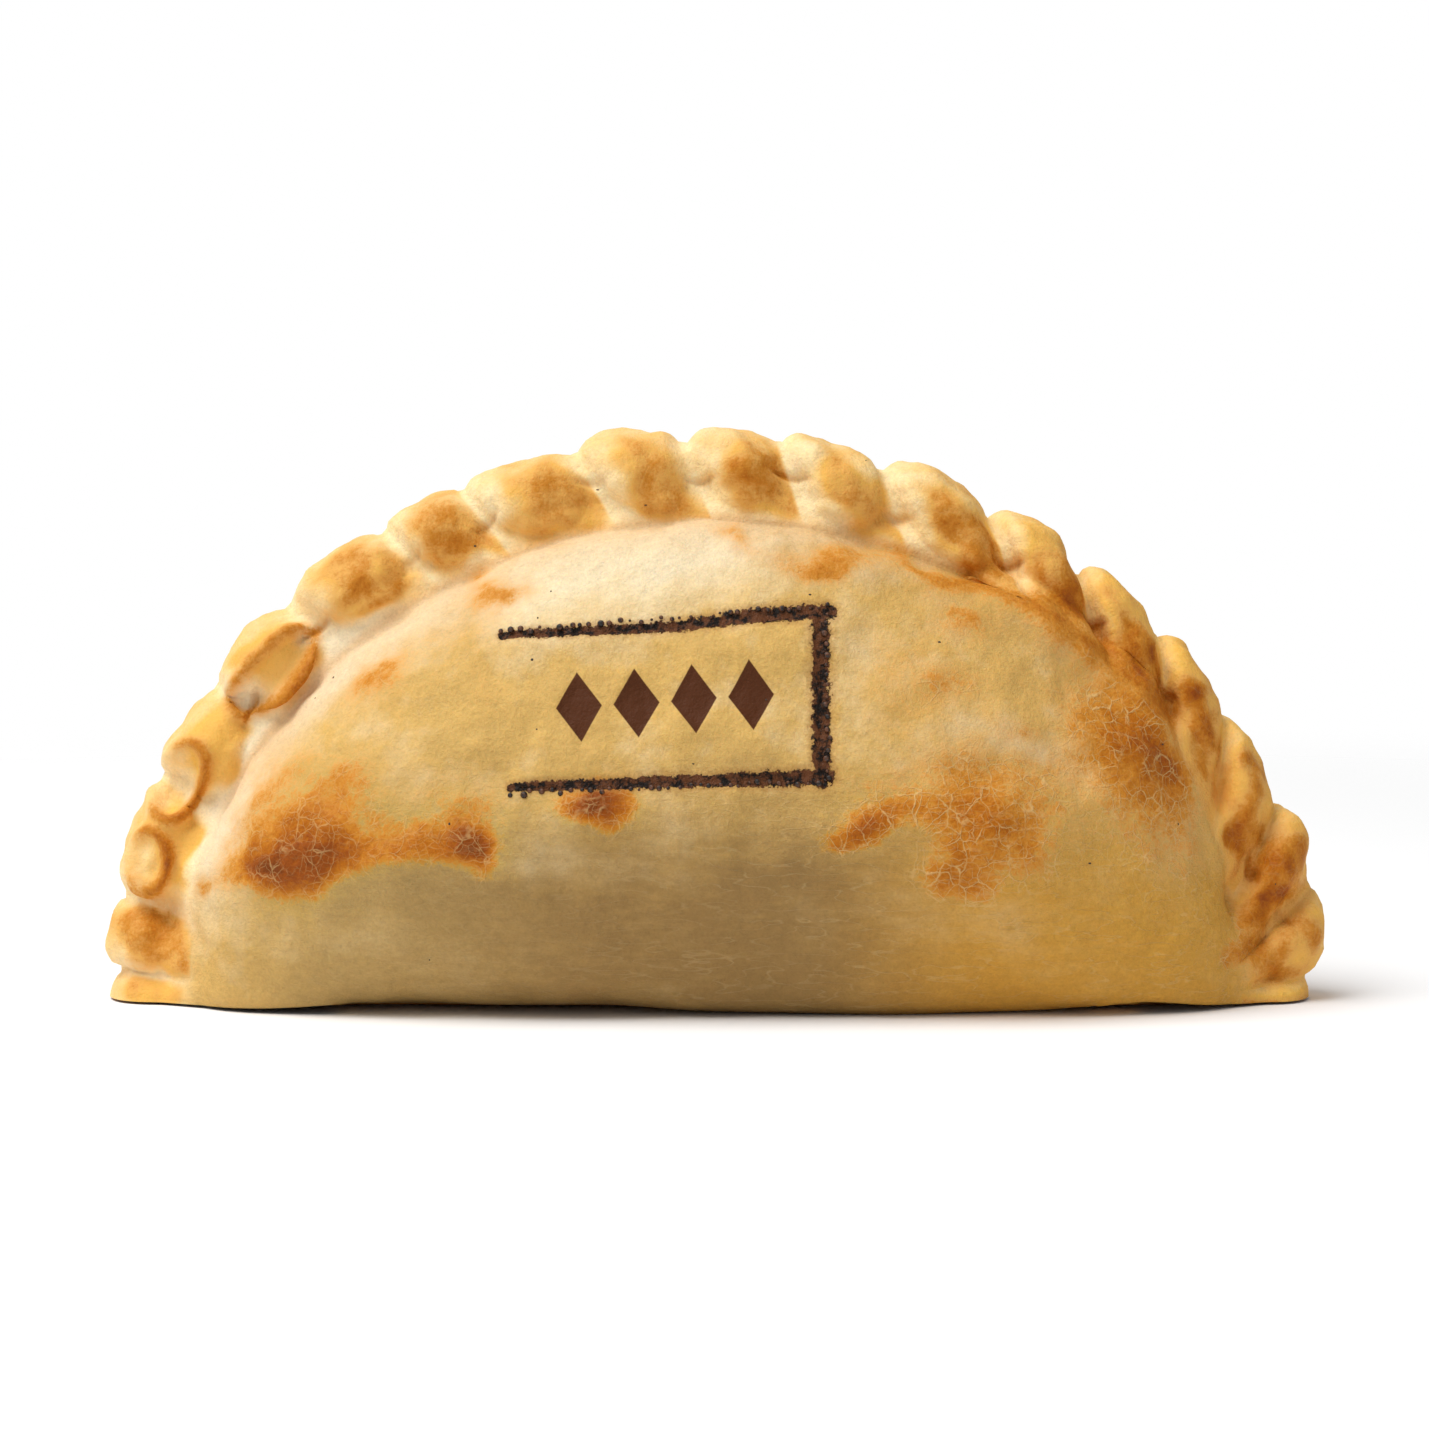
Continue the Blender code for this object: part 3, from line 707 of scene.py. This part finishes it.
def crust_mesh(points, faces):
    """A mesh of quads, and of triangles where two corners of a quad are the same."""
    corners = [list(dict.fromkeys(face)) for face in faces.tolist()]
    mesh = bpy.data.meshes.new("crust")
    mesh.from_pydata(points, [], corners)
    mesh.validate()
    mesh.shade_smooth()
    return mesh


def move_points(mesh, points):
    """Gives a mesh's vertices new places."""
    mesh.vertices.foreach_set("co", points.astype(np.float32).ravel())
    mesh.update()


def pads(crust):
    """How much of a fold's thick pad is at each point, from 0 in the valleys to 1."""
    _, share = fold_share(crust.angle)
    share = share + PAD_WANDER * crust.lumps(5.0, 51)
    across = crust.along - 1 + PAD_WANDER * crust.lumps(4.0, 52) * (crust.along > 1.05)
    along = np.exp(-(np.abs((share - PAD_MIDDLE) / PAD_HALF) ** 4))
    begun = ease((across - PAD_BEGINS[0]) / PAD_BEGINS[1])
    return along * begun * (1 - PAD_FADE * ease((across - PAD_FADES[0]) / PAD_FADES[1]))


def browning(crust, plan):
    """How brown the crust is baked, from 0 to about 1."""
    pushed = plan.copy()
    for k, (size, reach) in enumerate(SPOT_WANDER):
        pushed[:, 0] += reach * crust.lumps(size, k + 21)
        pushed[:, 1] += reach * crust.lumps(size, k + 31)
    front, back = (blobs(pushed, table, SPOT_SQUARENESS) for table in (FRONT_SPOTS, BACK_SPOTS))
    spots = crust.by_side(front, back)
    fold, _ = fold_share(crust.angle)
    patchy = PAD_PATCHES[0] + PAD_PATCHES[1] * crust.lumps(5.0, 41)
    patchy += PAD_PATCHES[2] * crust.lumps(2.2, 42)
    strength = crust.by_side(FOLD_BROWN[fold], FOLD_BROWN_BACK[fold]) * patchy.clip(0.05)
    rim = (PAD_BROWN + strength) * pads(crust) * (crust.side != 0)
    lips = pressed(plan)[1] * ease(2 * crust.facing - 1)
    under = np.where(crust.side == 0, BASE_BROWN, 0.0)
    joined = np.maximum(spots, rim) + OVERLAP_BROWN * np.minimum(spots, rim)
    return joined + under + LIP_BROWN * lips + PINCH_BROWN * pinches(crust)


def link(thing):
    """Puts an object into the scene and returns it."""
    bpy.context.scene.collection.objects.link(thing)
    return thing


def make_crust():
    """The whole crust as one closed mesh, with what its material reads stored on it."""
    crust = Crust()
    mesh = crust_mesh(crust.points, crust.faces)
    move = solid_relief(crust)
    crust.points += vertex_normals(mesh) * move[:, None]
    lift_base(crust.points, crust.side)
    crust.points[:, :2] -= (crust.points[:, :2].min(axis=0) + crust.points[:, :2].max(axis=0)) / 2
    move_points(mesh, crust.points)
    plan = plan_of(crust.points)
    crust.points += vertex_normals(mesh) * fine_relief(crust, plan)[:, None]
    crust.points[:, 2] = crust.points[:, 2].clip(0.0)
    move_points(mesh, crust.points)
    flour = blobs(plan, FRONT_FLOUR_AND_HIGHLIGHT) + HOLLOW_FLOUR * pressed(plan)[2]
    flour = crust.by_side(flour, blobs(plan, BACK_FLOUR)) * (1 - PAD_CLEAN * pads(crust))
    low = 1 - ease(crust.points[:, 2] / LOW_RIM)
    rim = ease((crust.along - 1 + RIM_BEGINS * low) / (RIM_BEGINS + RIM_SPREAD * low))
    first, last, fade = GROOVE_SHADE_SPAN
    groove_shade_share = ease((crust.angle - first) / fade) * ease((last - crust.angle) / fade)
    beside = np.exp(-(((crust.along - GROOVE_MIDDLE) / GROOVE_REACH) ** 2))
    stored = {"browning": browning(crust, plan), "flour": flour, "rim": rim * (crust.side != 0)}
    # groove: how much painted shade darkens the front beside the groove, from 0 to 1
    stored |= {"groove": beside * groove_shade_share * (crust.side > 0), "pad": pads(crust), "front": crust.facing}
    for name, values in stored.items():
        layer = mesh.attributes.new(name, "FLOAT", "POINT")
        layer.data.foreach_set("value", values.astype(np.float32))
    layer = mesh.attributes.new("plan", "FLOAT_VECTOR", "POINT")
    flat = np.column_stack([plan[:, 0], np.zeros(len(plan)), plan[:, 1]])
    layer.data.foreach_set("vector", flat.astype(np.float32).ravel())
    return link(bpy.data.objects.new("crust", mesh))


class Nodes:
    """Builds a node tree: each call adds one node and returns the socket that it puts out."""

    def __init__(self, tree):
        self.tree = tree

    def link(self, start, end):
        """Links one socket to another."""
        self.tree.links.new(start, end)

    def add(self, kind, inputs=None, out=0, **settings):
        """Adds a node of a kind with its settings, and links or fills its inputs."""
        node = self.tree.nodes.new(kind)
        for name, value in settings.items():
            setattr(node, name, value)
        for key, value in (inputs or {}).items():
            if isinstance(value, bpy.types.NodeSocket):
                self.link(value, node.inputs[key])
            else:
                node.inputs[key].default_value = value
        return node.outputs[out]

    def math(self, operation, *values, clamp=False):
        """A Math node on numbers or sockets."""
        return self.add("ShaderNodeMath", dict(enumerate(values)), operation=operation, use_clamp=clamp)

    def vector(self, operation, *values, out=0):
        """A Vector Math node on vectors or sockets."""
        return self.add("ShaderNodeVectorMath", dict(enumerate(values)), out=out, operation=operation)

    def plus(self, *values):
        return functools.reduce(functools.partial(self.math, "ADD"), values)

    def minus(self, a, b):
        return self.math("SUBTRACT", a, b)

    def times(self, *values):
        return functools.reduce(functools.partial(self.math, "MULTIPLY"), values)

    def swing(self, share, amount):
        """How far a noise is above or below its middle, times an amount."""
        return self.times(self.minus(share, 0.5), amount)

    def ease(self, value, low, high, bottom=0.0, top=1.0):
        """Goes smoothly from bottom to top as the value goes from low to high."""
        inputs = {"Value": value, "From Min": low, "From Max": high, "To Min": bottom, "To Max": top}
        return self.add("ShaderNodeMapRange", inputs, interpolation_type="SMOOTHSTEP")

    def mix(self, share, a, b, blend_type="MIX"):
        """Mixes two colours."""
        four = [value if isinstance(value, bpy.types.NodeSocket) else (*value, 1.0) for value in (a, b)]
        inputs = {0: share, 6: four[0], 7: four[1]}
        return self.add("ShaderNodeMix", inputs, out=2, data_type="RGBA", blend_type=blend_type)

    def scaled(self, colour, share):
        """A colour made lighter or darker by a share."""
        return self.add("ShaderNodeVectorMath", {0: colour, "Scale": share}, operation="SCALE")

    def cracks(self, place, size, width):
        """Fine bent lines between cells of about a size in mm, 1 on the lines."""
        inputs = {"Vector": place, "Scale": CRACK_BENDS / (size * MM), "Detail": 3.0}
        bend = self.add("ShaderNodeTexNoise", inputs, out="Color")
        bent = self.vector("ADD", place, self.scaled(bend, CRACK_SWAY * size * MM))
        inputs = {"Vector": bent, "Scale": 1 / (size * MM)}
        return self.ease(self.add("ShaderNodeTexVoronoi", inputs, feature="DISTANCE_TO_EDGE"), width, 0.0)

    def noise(self, place, size, detail=2.0, roughness=0.5):
        """Noise from 0 to 1 whose lumps are about a size in mm across."""
        inputs = {"Vector": place, "Scale": 1 / (size * MM), "Detail": detail, "Roughness": roughness}
        return self.add("ShaderNodeTexNoise", inputs)

    def random(self, seed, least, most):
        """Random vectors between two."""
        inputs = {0: least, 1: most, "Seed": seed}
        return self.add("FunctionNodeRandomValue", inputs, data_type="FLOAT_VECTOR")

    def attribute(self, name, out="Fac"):
        return self.add("ShaderNodeAttribute", out=out, attribute_name=name)

    def ramp(self, value, stops):
        """A colour ramp through the stops."""
        socket = self.add("ShaderNodeValToRGB", {0: value})
        elements = socket.node.color_ramp.elements
        while len(elements) < len(stops):
            elements.new(0.5)
        for element, (place, colour) in zip(elements, stops):
            element.position = place
            element.color = (*colour, 1.0)
        return socket


def new_material(name, inputs):
    """A material with its shader's values, a builder for its nodes, and the shader."""
    material = bpy.data.materials.new(name)
    material.use_nodes = True
    shader = material.node_tree.nodes["Principled BSDF"]
    for key, value in inputs.items():
        shader.inputs[key].default_value = value
    return material, Nodes(material.node_tree), shader


def turned(nodes, x, z, start_x, start_z, turn):
    """Like turned_by, with sockets and an angle in radians."""
    dx, dz, ux, uz = nodes.minus(x, start_x), nodes.minus(z, start_z), math.cos(turn), math.sin(turn)
    along = nodes.plus(nodes.times(dx, ux), nodes.times(dz, uz))
    return along, nodes.minus(nodes.times(dz, ux), nodes.times(dx, uz))


def near_bar(nodes, x, z, bar):
    """Like bar_distance, with sockets and for one bar."""
    x0, z0, x1, z1, half, thinning = bar
    length = math.hypot(x1 - x0, z1 - z0)
    along, across = turned(nodes, x, z, x0, z0, math.atan2(z1 - z0, x1 - x0))
    inside = nodes.math("MINIMUM", nodes.math("MAXIMUM", along, 0.0), length)
    past = nodes.minus(along, inside)
    far = nodes.math("POWER", nodes.plus(nodes.times(past, past), nodes.times(across, across)), 0.5)
    width = nodes.plus(half * (1 - thinning), nodes.times(inside, half * thinning / length))
    return nodes.math("DIVIDE", far, width)


def near_lozenge(nodes, x, z):
    """Like lozenge_distance, with sockets."""
    nearest = 99.0
    for middle in LOZENGE_PLACES:
        along, across = turned(nodes, x, z, *middle, math.radians(LOZENGE_TILT))
        wide = nodes.math("ABSOLUTE", nodes.times(along, 1 / LOZENGE_HALF[0]))
        high = nodes.math("ABSOLUTE", nodes.times(across, 1 / LOZENGE_HALF[1]))
        nearest = nodes.math("MINIMUM", nodes.plus(wide, high), nearest)
    return nearest


def crust_material():
    """Baked dough: pale at the top, light brown below and darker there partly as painted shade, painted
    shade beside the groove, browned spots with pale cracks, and the burnt marks.
    """
    material, nodes, shader = new_material("baked_crust", CRUST_SURFACE)
    mix, plus, times, swing = nodes.mix, nodes.plus, nodes.times, nodes.swing
    place = nodes.add("ShaderNodeTexCoord", out="Object")
    plan = nodes.add("ShaderNodeSeparateXYZ", {0: nodes.attribute("plan", "Vector")})
    x, z = plan, plan.node.outputs[2]
    stored = ("front", "rim", "browning", "flour", "pad", "groove")
    front, rim, baked, flour, pad, groove = (nodes.attribute(name) for name in stored)
    broad, patches = nodes.noise(place, *BROAD), nodes.noise(place, *PATCHES)
    grain, dust = nodes.noise(place, *GRAIN), nodes.noise(place, *DUST)
    stretched = nodes.add("ShaderNodeMapping", {0: place, "Scale": STREAK_STRETCH})
    streaks = nodes.noise(stretched, *STREAKS)

    # The dough's colour: the belly with painted shade low down, then the crimped edge, flour with a painted
    # highlight, the groove's painted shade and the back
    tilted = nodes.minus(z, times(x, GOLD_SLOPE))
    gold = plus(nodes.ease(tilted, *GOLD_FADE), swing(broad, 1.1))
    gold = nodes.math("ADD", nodes.minus(gold, flour), swing(patches, 0.75), clamp=True)
    # The lower belly: light brown, darker toward the tray partly as painted shade
    lower = plus(nodes.ease(z, *LOWER_FADE), swing(broad, 0.7), swing(streaks, 0.6))
    lower = nodes.minus(lower, times(flour, 0.8))
    lower = nodes.math("MULTIPLY", lower, nodes.ease(x, *LOWER_END_FADE), clamp=True)
    lower_tan_and_shade = mix(nodes.ease(x, *LEFT_TO_MIDDLE), LOWER_LEFT_TAN_AND_SHADE, LOWER_MIDDLE_TAN_AND_SHADE)
    lower_tan_and_shade = mix(nodes.ease(x, *MIDDLE_TO_RIGHT), lower_tan_and_shade, LOWER_RIGHT_TAN_AND_SHADE)
    belly = mix(lower, mix(gold, PALE, GOLD), lower_tan_and_shade)
    rim_gold = plus(times(pad, 1.25), nodes.ease(x, *RIM_GOLD_FADE))
    rim_gold = nodes.math("ADD", rim_gold, swing(patches, 1.0), clamp=True)
    dough = mix(rim, belly, mix(rim_gold, RIM_PALE, RIM_GOLD))
    # Flour whitens the dough; down the front's left edge this is partly a painted highlight
    dough = mix(nodes.ease(flour, 0.2, 1.0, 0.0, 0.8), dough, FLOUR_WHITE)
    # Painted shade beside the groove on the front, warmed toward gold
    dough = mix(groove, dough, GROOVE_SHADE_AND_GOLD, blend_type="MULTIPLY")
    dough = mix(nodes.minus(1.0, front), dough, BACK_TINT, blend_type="MULTIPLY")
    dough = nodes.scaled(dough, plus(swing(grain, 0.38), swing(dust, 0.3), 1.0))

    # Browning: the dough first only darkens, then takes on the toasted colours
    mottle = plus(swing(patches, 0.5), swing(grain, 0.5), swing(dust, 0.25))
    browned = plus(baked, times(mottle, nodes.ease(baked, 0.02, 0.4, 0.12, 0.75)))
    toast = nodes.ramp(browned, TOASTED)
    darker = mix(1.0, dough, toast, blend_type="DARKEN")
    colour = mix(nodes.ease(browned, *DARKER_FADE), dough, darker)
    colour = mix(nodes.ease(browned, *TOASTED_FADE), colour, toast)

    # Pale cracks in the browned spots, and pale wrinkles low on the belly
    coarse, fine = nodes.cracks(place, *COARSE_CRACKS), nodes.cracks(place, *FINE_CRACKS)
    crack = nodes.math("MAXIMUM", coarse, times(fine, 0.65))
    crack_at = times(nodes.ease(baked, 0.06, 0.4), nodes.ease(x, *CRACK_X_FADE))
    crack_at = times(crack_at, nodes.ease(patches, 0.34, 0.6), nodes.ease(z, *CRACK_Z_FADE))
    crack = times(crack, crack_at, nodes.ease(rim, 0.0, 1.0, 1.0, 0.2))
    ridge = nodes.math("ABSOLUTE", nodes.minus(nodes.noise(stretched, *WRINKLES), 0.5))
    wrinkle = times(nodes.ease(ridge, WRINKLE_WIDTH, 0.0), nodes.ease(streaks, 0.36, 0.6, 0.2, 1.0))
    off_rim = nodes.ease(rim, 0.0, 1.0, 1.0, 0.0)
    wrinkle_at = times(nodes.ease(z, *WRINKLE_Z_FADE), off_rim, nodes.ease(x, *WRINKLE_X_FADE))
    wrinkle = times(wrinkle, wrinkle_at)
    colour = mix(times(crack, CRACK_SHOWS), colour, CRACK)
    colour = mix(times(wrinkle, WRINKLE_SHOWS), colour, WRINKLE)

    # The burnt bars, ragged and with a scorched edge, and the lozenges
    nearest = 99.0
    for bar in BARS:
        nearest = nodes.math("MINIMUM", near_bar(nodes, x, z, bar), nearest)
    ragged = plus(nearest, plus(swing(grain, 1.8), swing(dust, 0.9)))
    burnt = times(nodes.ease(ragged, 1.2, 0.9), front)
    scorched = times(nodes.ease(ragged, 2.4, 0.9), front)
    char = mix(nodes.ease(nodes.noise(place, 1.1, 3.0, 0.7), 0.4, 0.58), CHAR_BLACK, CHAR_BROWN)
    colour = mix(times(scorched, SCORCH_SHOWS), colour, SCORCH)
    colour = mix(burnt, colour, char)
    lozenge = times(nodes.ease(near_lozenge(nodes, x, z), 1.03, 0.97), front)
    colour = mix(lozenge, colour, LOZENGE_BROWN)
    nodes.link(colour, shader.inputs["Base Color"])

    # Gloss and fine bumps
    rough = plus(nodes.ease(browned, 0.1, 0.8, 0.6, 0.48), swing(grain, 0.22))
    nodes.link(nodes.minus(rough, times(burnt, 0.14)), shader.inputs["Roughness"])
    height = plus(times(grain, 0.9), times(dust, 0.25), times(patches, 0.6))
    lines = times(plus(crack, times(wrinkle, 0.7)), 0.3)
    height = plus(height, times(streaks, nodes.ease(z, *STREAK_FADE)), lines)
    height = plus(height, times(burnt, times(grain, 1.6)))
    bump = nodes.add("ShaderNodeBump", {"Height": height, "Strength": 0.75, "Distance": BUMP_HEIGHT})
    nodes.link(bump, shader.inputs["Normal"])
    return material


def charred_material(name, roughness, size, light, fade=None):
    """Burnt bits: black and a lighter colour in lumps of about a size in mm."""
    material, nodes, shader = new_material(name, {"Roughness": roughness})
    share = nodes.noise(nodes.add("ShaderNodeTexCoord", out="Object"), size, 2.0)
    if fade:
        share = nodes.ease(share, *fade)
    nodes.link(nodes.mix(share, CHAR_BLACK, light), shader.inputs["Base Color"])
    return material


def scattered(name, given, build, material):
    """Runs a Geometry Nodes tree with named inputs, and returns what it makes as a plain piece."""
    tree = bpy.data.node_groups.new(name, "GeometryNodeTree")
    tree.interface.new_socket("Geometry", in_out="OUTPUT", socket_type="NodeSocketGeometry")
    values = {}
    for key, value in given.items():
        kind = "NodeSocket" + SOCKET_KINDS[type(value)]
        values[tree.interface.new_socket(key, in_out="INPUT", socket_type=kind).identifier] = value
    nodes = Nodes(tree)
    sockets = {socket.name: socket for socket in nodes.add("NodeGroupInput").node.outputs}
    real = nodes.add("GeometryNodeRealizeInstances", {0: build(nodes, sockets)})
    done = nodes.add("GeometryNodeSetMaterial", {"Geometry": real, "Material": material})
    nodes.link(done, tree.nodes.new("NodeGroupOutput").inputs[0])
    piece = link(bpy.data.objects.new(name, bpy.data.meshes.new(name)))
    modifier = piece.modifiers.new(name, "NODES")
    modifier.node_group = tree
    for identifier, value in values.items():
        modifier[identifier] = value
    evaluated = piece.evaluated_get(bpy.context.evaluated_depsgraph_get())
    mesh = bpy.data.meshes.new_from_object(evaluated)
    piece.modifiers.remove(modifier)
    piece.data = mesh
    return piece


def beads(nodes, given):
    """Charred beads along the burnt bars, laid on the crust where the bars are seen."""
    join = nodes.tree.nodes.new("GeometryNodeJoinGeometry")
    for x0, z0, x1, z1, half, _ in BARS:
        first, last = np.array([x0, z0]), np.array([x1, z1])
        out = np.array([z0 - z1, x1 - x0]) / math.hypot(x1 - x0, z1 - z0)
        out *= math.copysign(BEADS_OUT * half, out @ (first - FRAME_MIDDLE))
        start, end = (first + out) * MM, (last + out) * MM
        ends = {"Start": (start[0], 0.0, start[1]), "End": (end[0], 0.0, end[1])}
        nodes.link(nodes.add("GeometryNodeCurvePrimitiveLine", ends), join.inputs[0])
    lines = {"Curve": join.outputs[0], "Length": given["Pitch"]}
    points = nodes.add("GeometryNodeCurveToPoints", lines, mode="LENGTH")
    least = nodes.vector("MULTIPLY", given["Spread"], (-1.0, 0.0, -1.0))
    most = nodes.vector("MULTIPLY", given["Spread"], (1.0, 0.0, 1.0))
    shift = nodes.random(given["Seed"], least, most)
    points = nodes.add("GeometryNodeSetPosition", {"Geometry": points, "Offset": shift})
    surface = nodes.add("GeometryNodeObjectInfo", {"Object": given["Crust"]}, out="Geometry")
    eye = given["Seen From"]
    way = nodes.vector("SUBTRACT", nodes.add("GeometryNodeInputPosition"), eye)
    ray = {"Target Geometry": surface, "Source Position": eye, "Ray Direction": way, "Ray Length": 2.0}
    hit = nodes.add("GeometryNodeRaycast", ray, out="Hit Position")
    points = nodes.add("GeometryNodeSetPosition", {"Geometry": points, "Position": hit})
    bead = nodes.add("GeometryNodeMeshIcoSphere", {"Radius": given["Bead Radius"], "Subdivisions": 2})
    sizes = {2: BEAD_SMALLEST, 3: 1.0, "Seed": given["Seed"]}
    size = nodes.add("FunctionNodeRandomValue", sizes, out=1)
    return nodes.add("GeometryNodeInstanceOnPoints", {"Points": points, "Instance": bead, "Scale": size})


def specks(nodes, given):
    """A few dark specks baked into the crust."""
    surface = nodes.add("GeometryNodeObjectInfo", {"Object": given["Crust"]}, out="Geometry")
    spread = {"Mesh": surface, "Density": given["Specks per Square Metre"], "Seed": given["Seed"]}
    points = nodes.add("GeometryNodeDistributePointsOnFaces", spread)
    speck = nodes.add("GeometryNodeMeshIcoSphere", {"Radius": given["Speck Radius"], "Subdivisions": 1})
    size = nodes.random(given["Seed"], SPECK_SMALLEST, SPECK_LARGEST)
    facing = points.node.outputs["Rotation"]
    laid = {"Points": points, "Instance": speck, "Rotation": facing, "Scale": size}
    return nodes.add("GeometryNodeInstanceOnPoints", laid)


def make_stage():
    """A round pale floor that fades out into a white room."""
    material, nodes, shader = new_material("pale_floor", FLOOR_SURFACE)
    place = nodes.add("ShaderNodeTexCoord", out="Object")
    far = nodes.vector("LENGTH", place, out=1)
    nodes.link(nodes.ease(far, *FLOOR_FADE, 1.0, 0.0), shader.inputs["Alpha"])
    mesh = bpy.data.meshes.new("floor")
    corners = [(x * FLOOR_HALF, y * FLOOR_HALF, 0) for x, y in ((-1, -1), (1, -1), (1, 1), (-1, 1))]
    mesh.from_pydata(corners, [], [range(4)])
    mesh.materials.append(material)
    link(bpy.data.objects.new("floor", mesh))


def make_world():
    """A white room: the camera sees it white, and it lights the empanada more softly."""
    world = bpy.data.worlds.new("white_room")
    world.use_nodes = True
    nodes = Nodes(world.node_tree)
    background = world.node_tree.nodes["Background"]
    seen = nodes.add("ShaderNodeLightPath", out="Is Camera Ray")
    level = nodes.plus(nodes.times(seen, 1.0 - ROOM_LIGHT), ROOM_LIGHT)
    nodes.link(level, background.inputs["Strength"])
    background.inputs["Color"].default_value = (1.0, 1.0, 1.0, 1.0)
    bpy.context.scene.world = world


def aimed(data, place):
    """An object at a place, aimed at the middle of the empanada."""
    thing = link(bpy.data.objects.new(data.name, data))
    thing.location = place
    thing.rotation_mode = "QUATERNION"
    thing.rotation_quaternion = (CAMERA_TARGET - thing.location).to_track_quat("-Z", "Y")
    return thing


def make_light():
    """A square soft box."""
    light = bpy.data.lights.new("key", "AREA")
    light.size = LIGHT_SIZE
    light.energy = LIGHT_POWER
    aimed(light, LIGHT_PLACE)


def make_camera():
    """The camera at the front."""
    camera = bpy.data.cameras.new("camera")
    camera.lens = CAMERA_LENS
    camera.sensor_width = CAMERA_SENSOR
    camera.clip_start = 0.01
    bpy.context.scene.camera = aimed(camera, CAMERA_PLACE)


def main():
    make_camera()
    crust = make_crust()
    crust.data.materials.append(crust_material())
    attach(crust, "root")
    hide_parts("empanada")
    burnt = charred_material("charred_dough", 0.42, 0.5, CHAR_BROWN, (0.4, 0.65))
    spiced = charred_material("burnt_specks", 0.6, 1.0, SPECK_BROWN)
    on_crust = {"Crust": crust}
    bead_piece = scattered("burnt_beads", on_crust | BEAD_INPUTS, beads, burnt)
    for piece in (bead_piece, scattered("specks", on_crust | SPECK_INPUTS, specks, spiced)):
        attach(piece, "root")
    make_stage()
    make_world()
    make_light()
    bpy.context.scene.view_settings.view_transform = "Standard"


main()
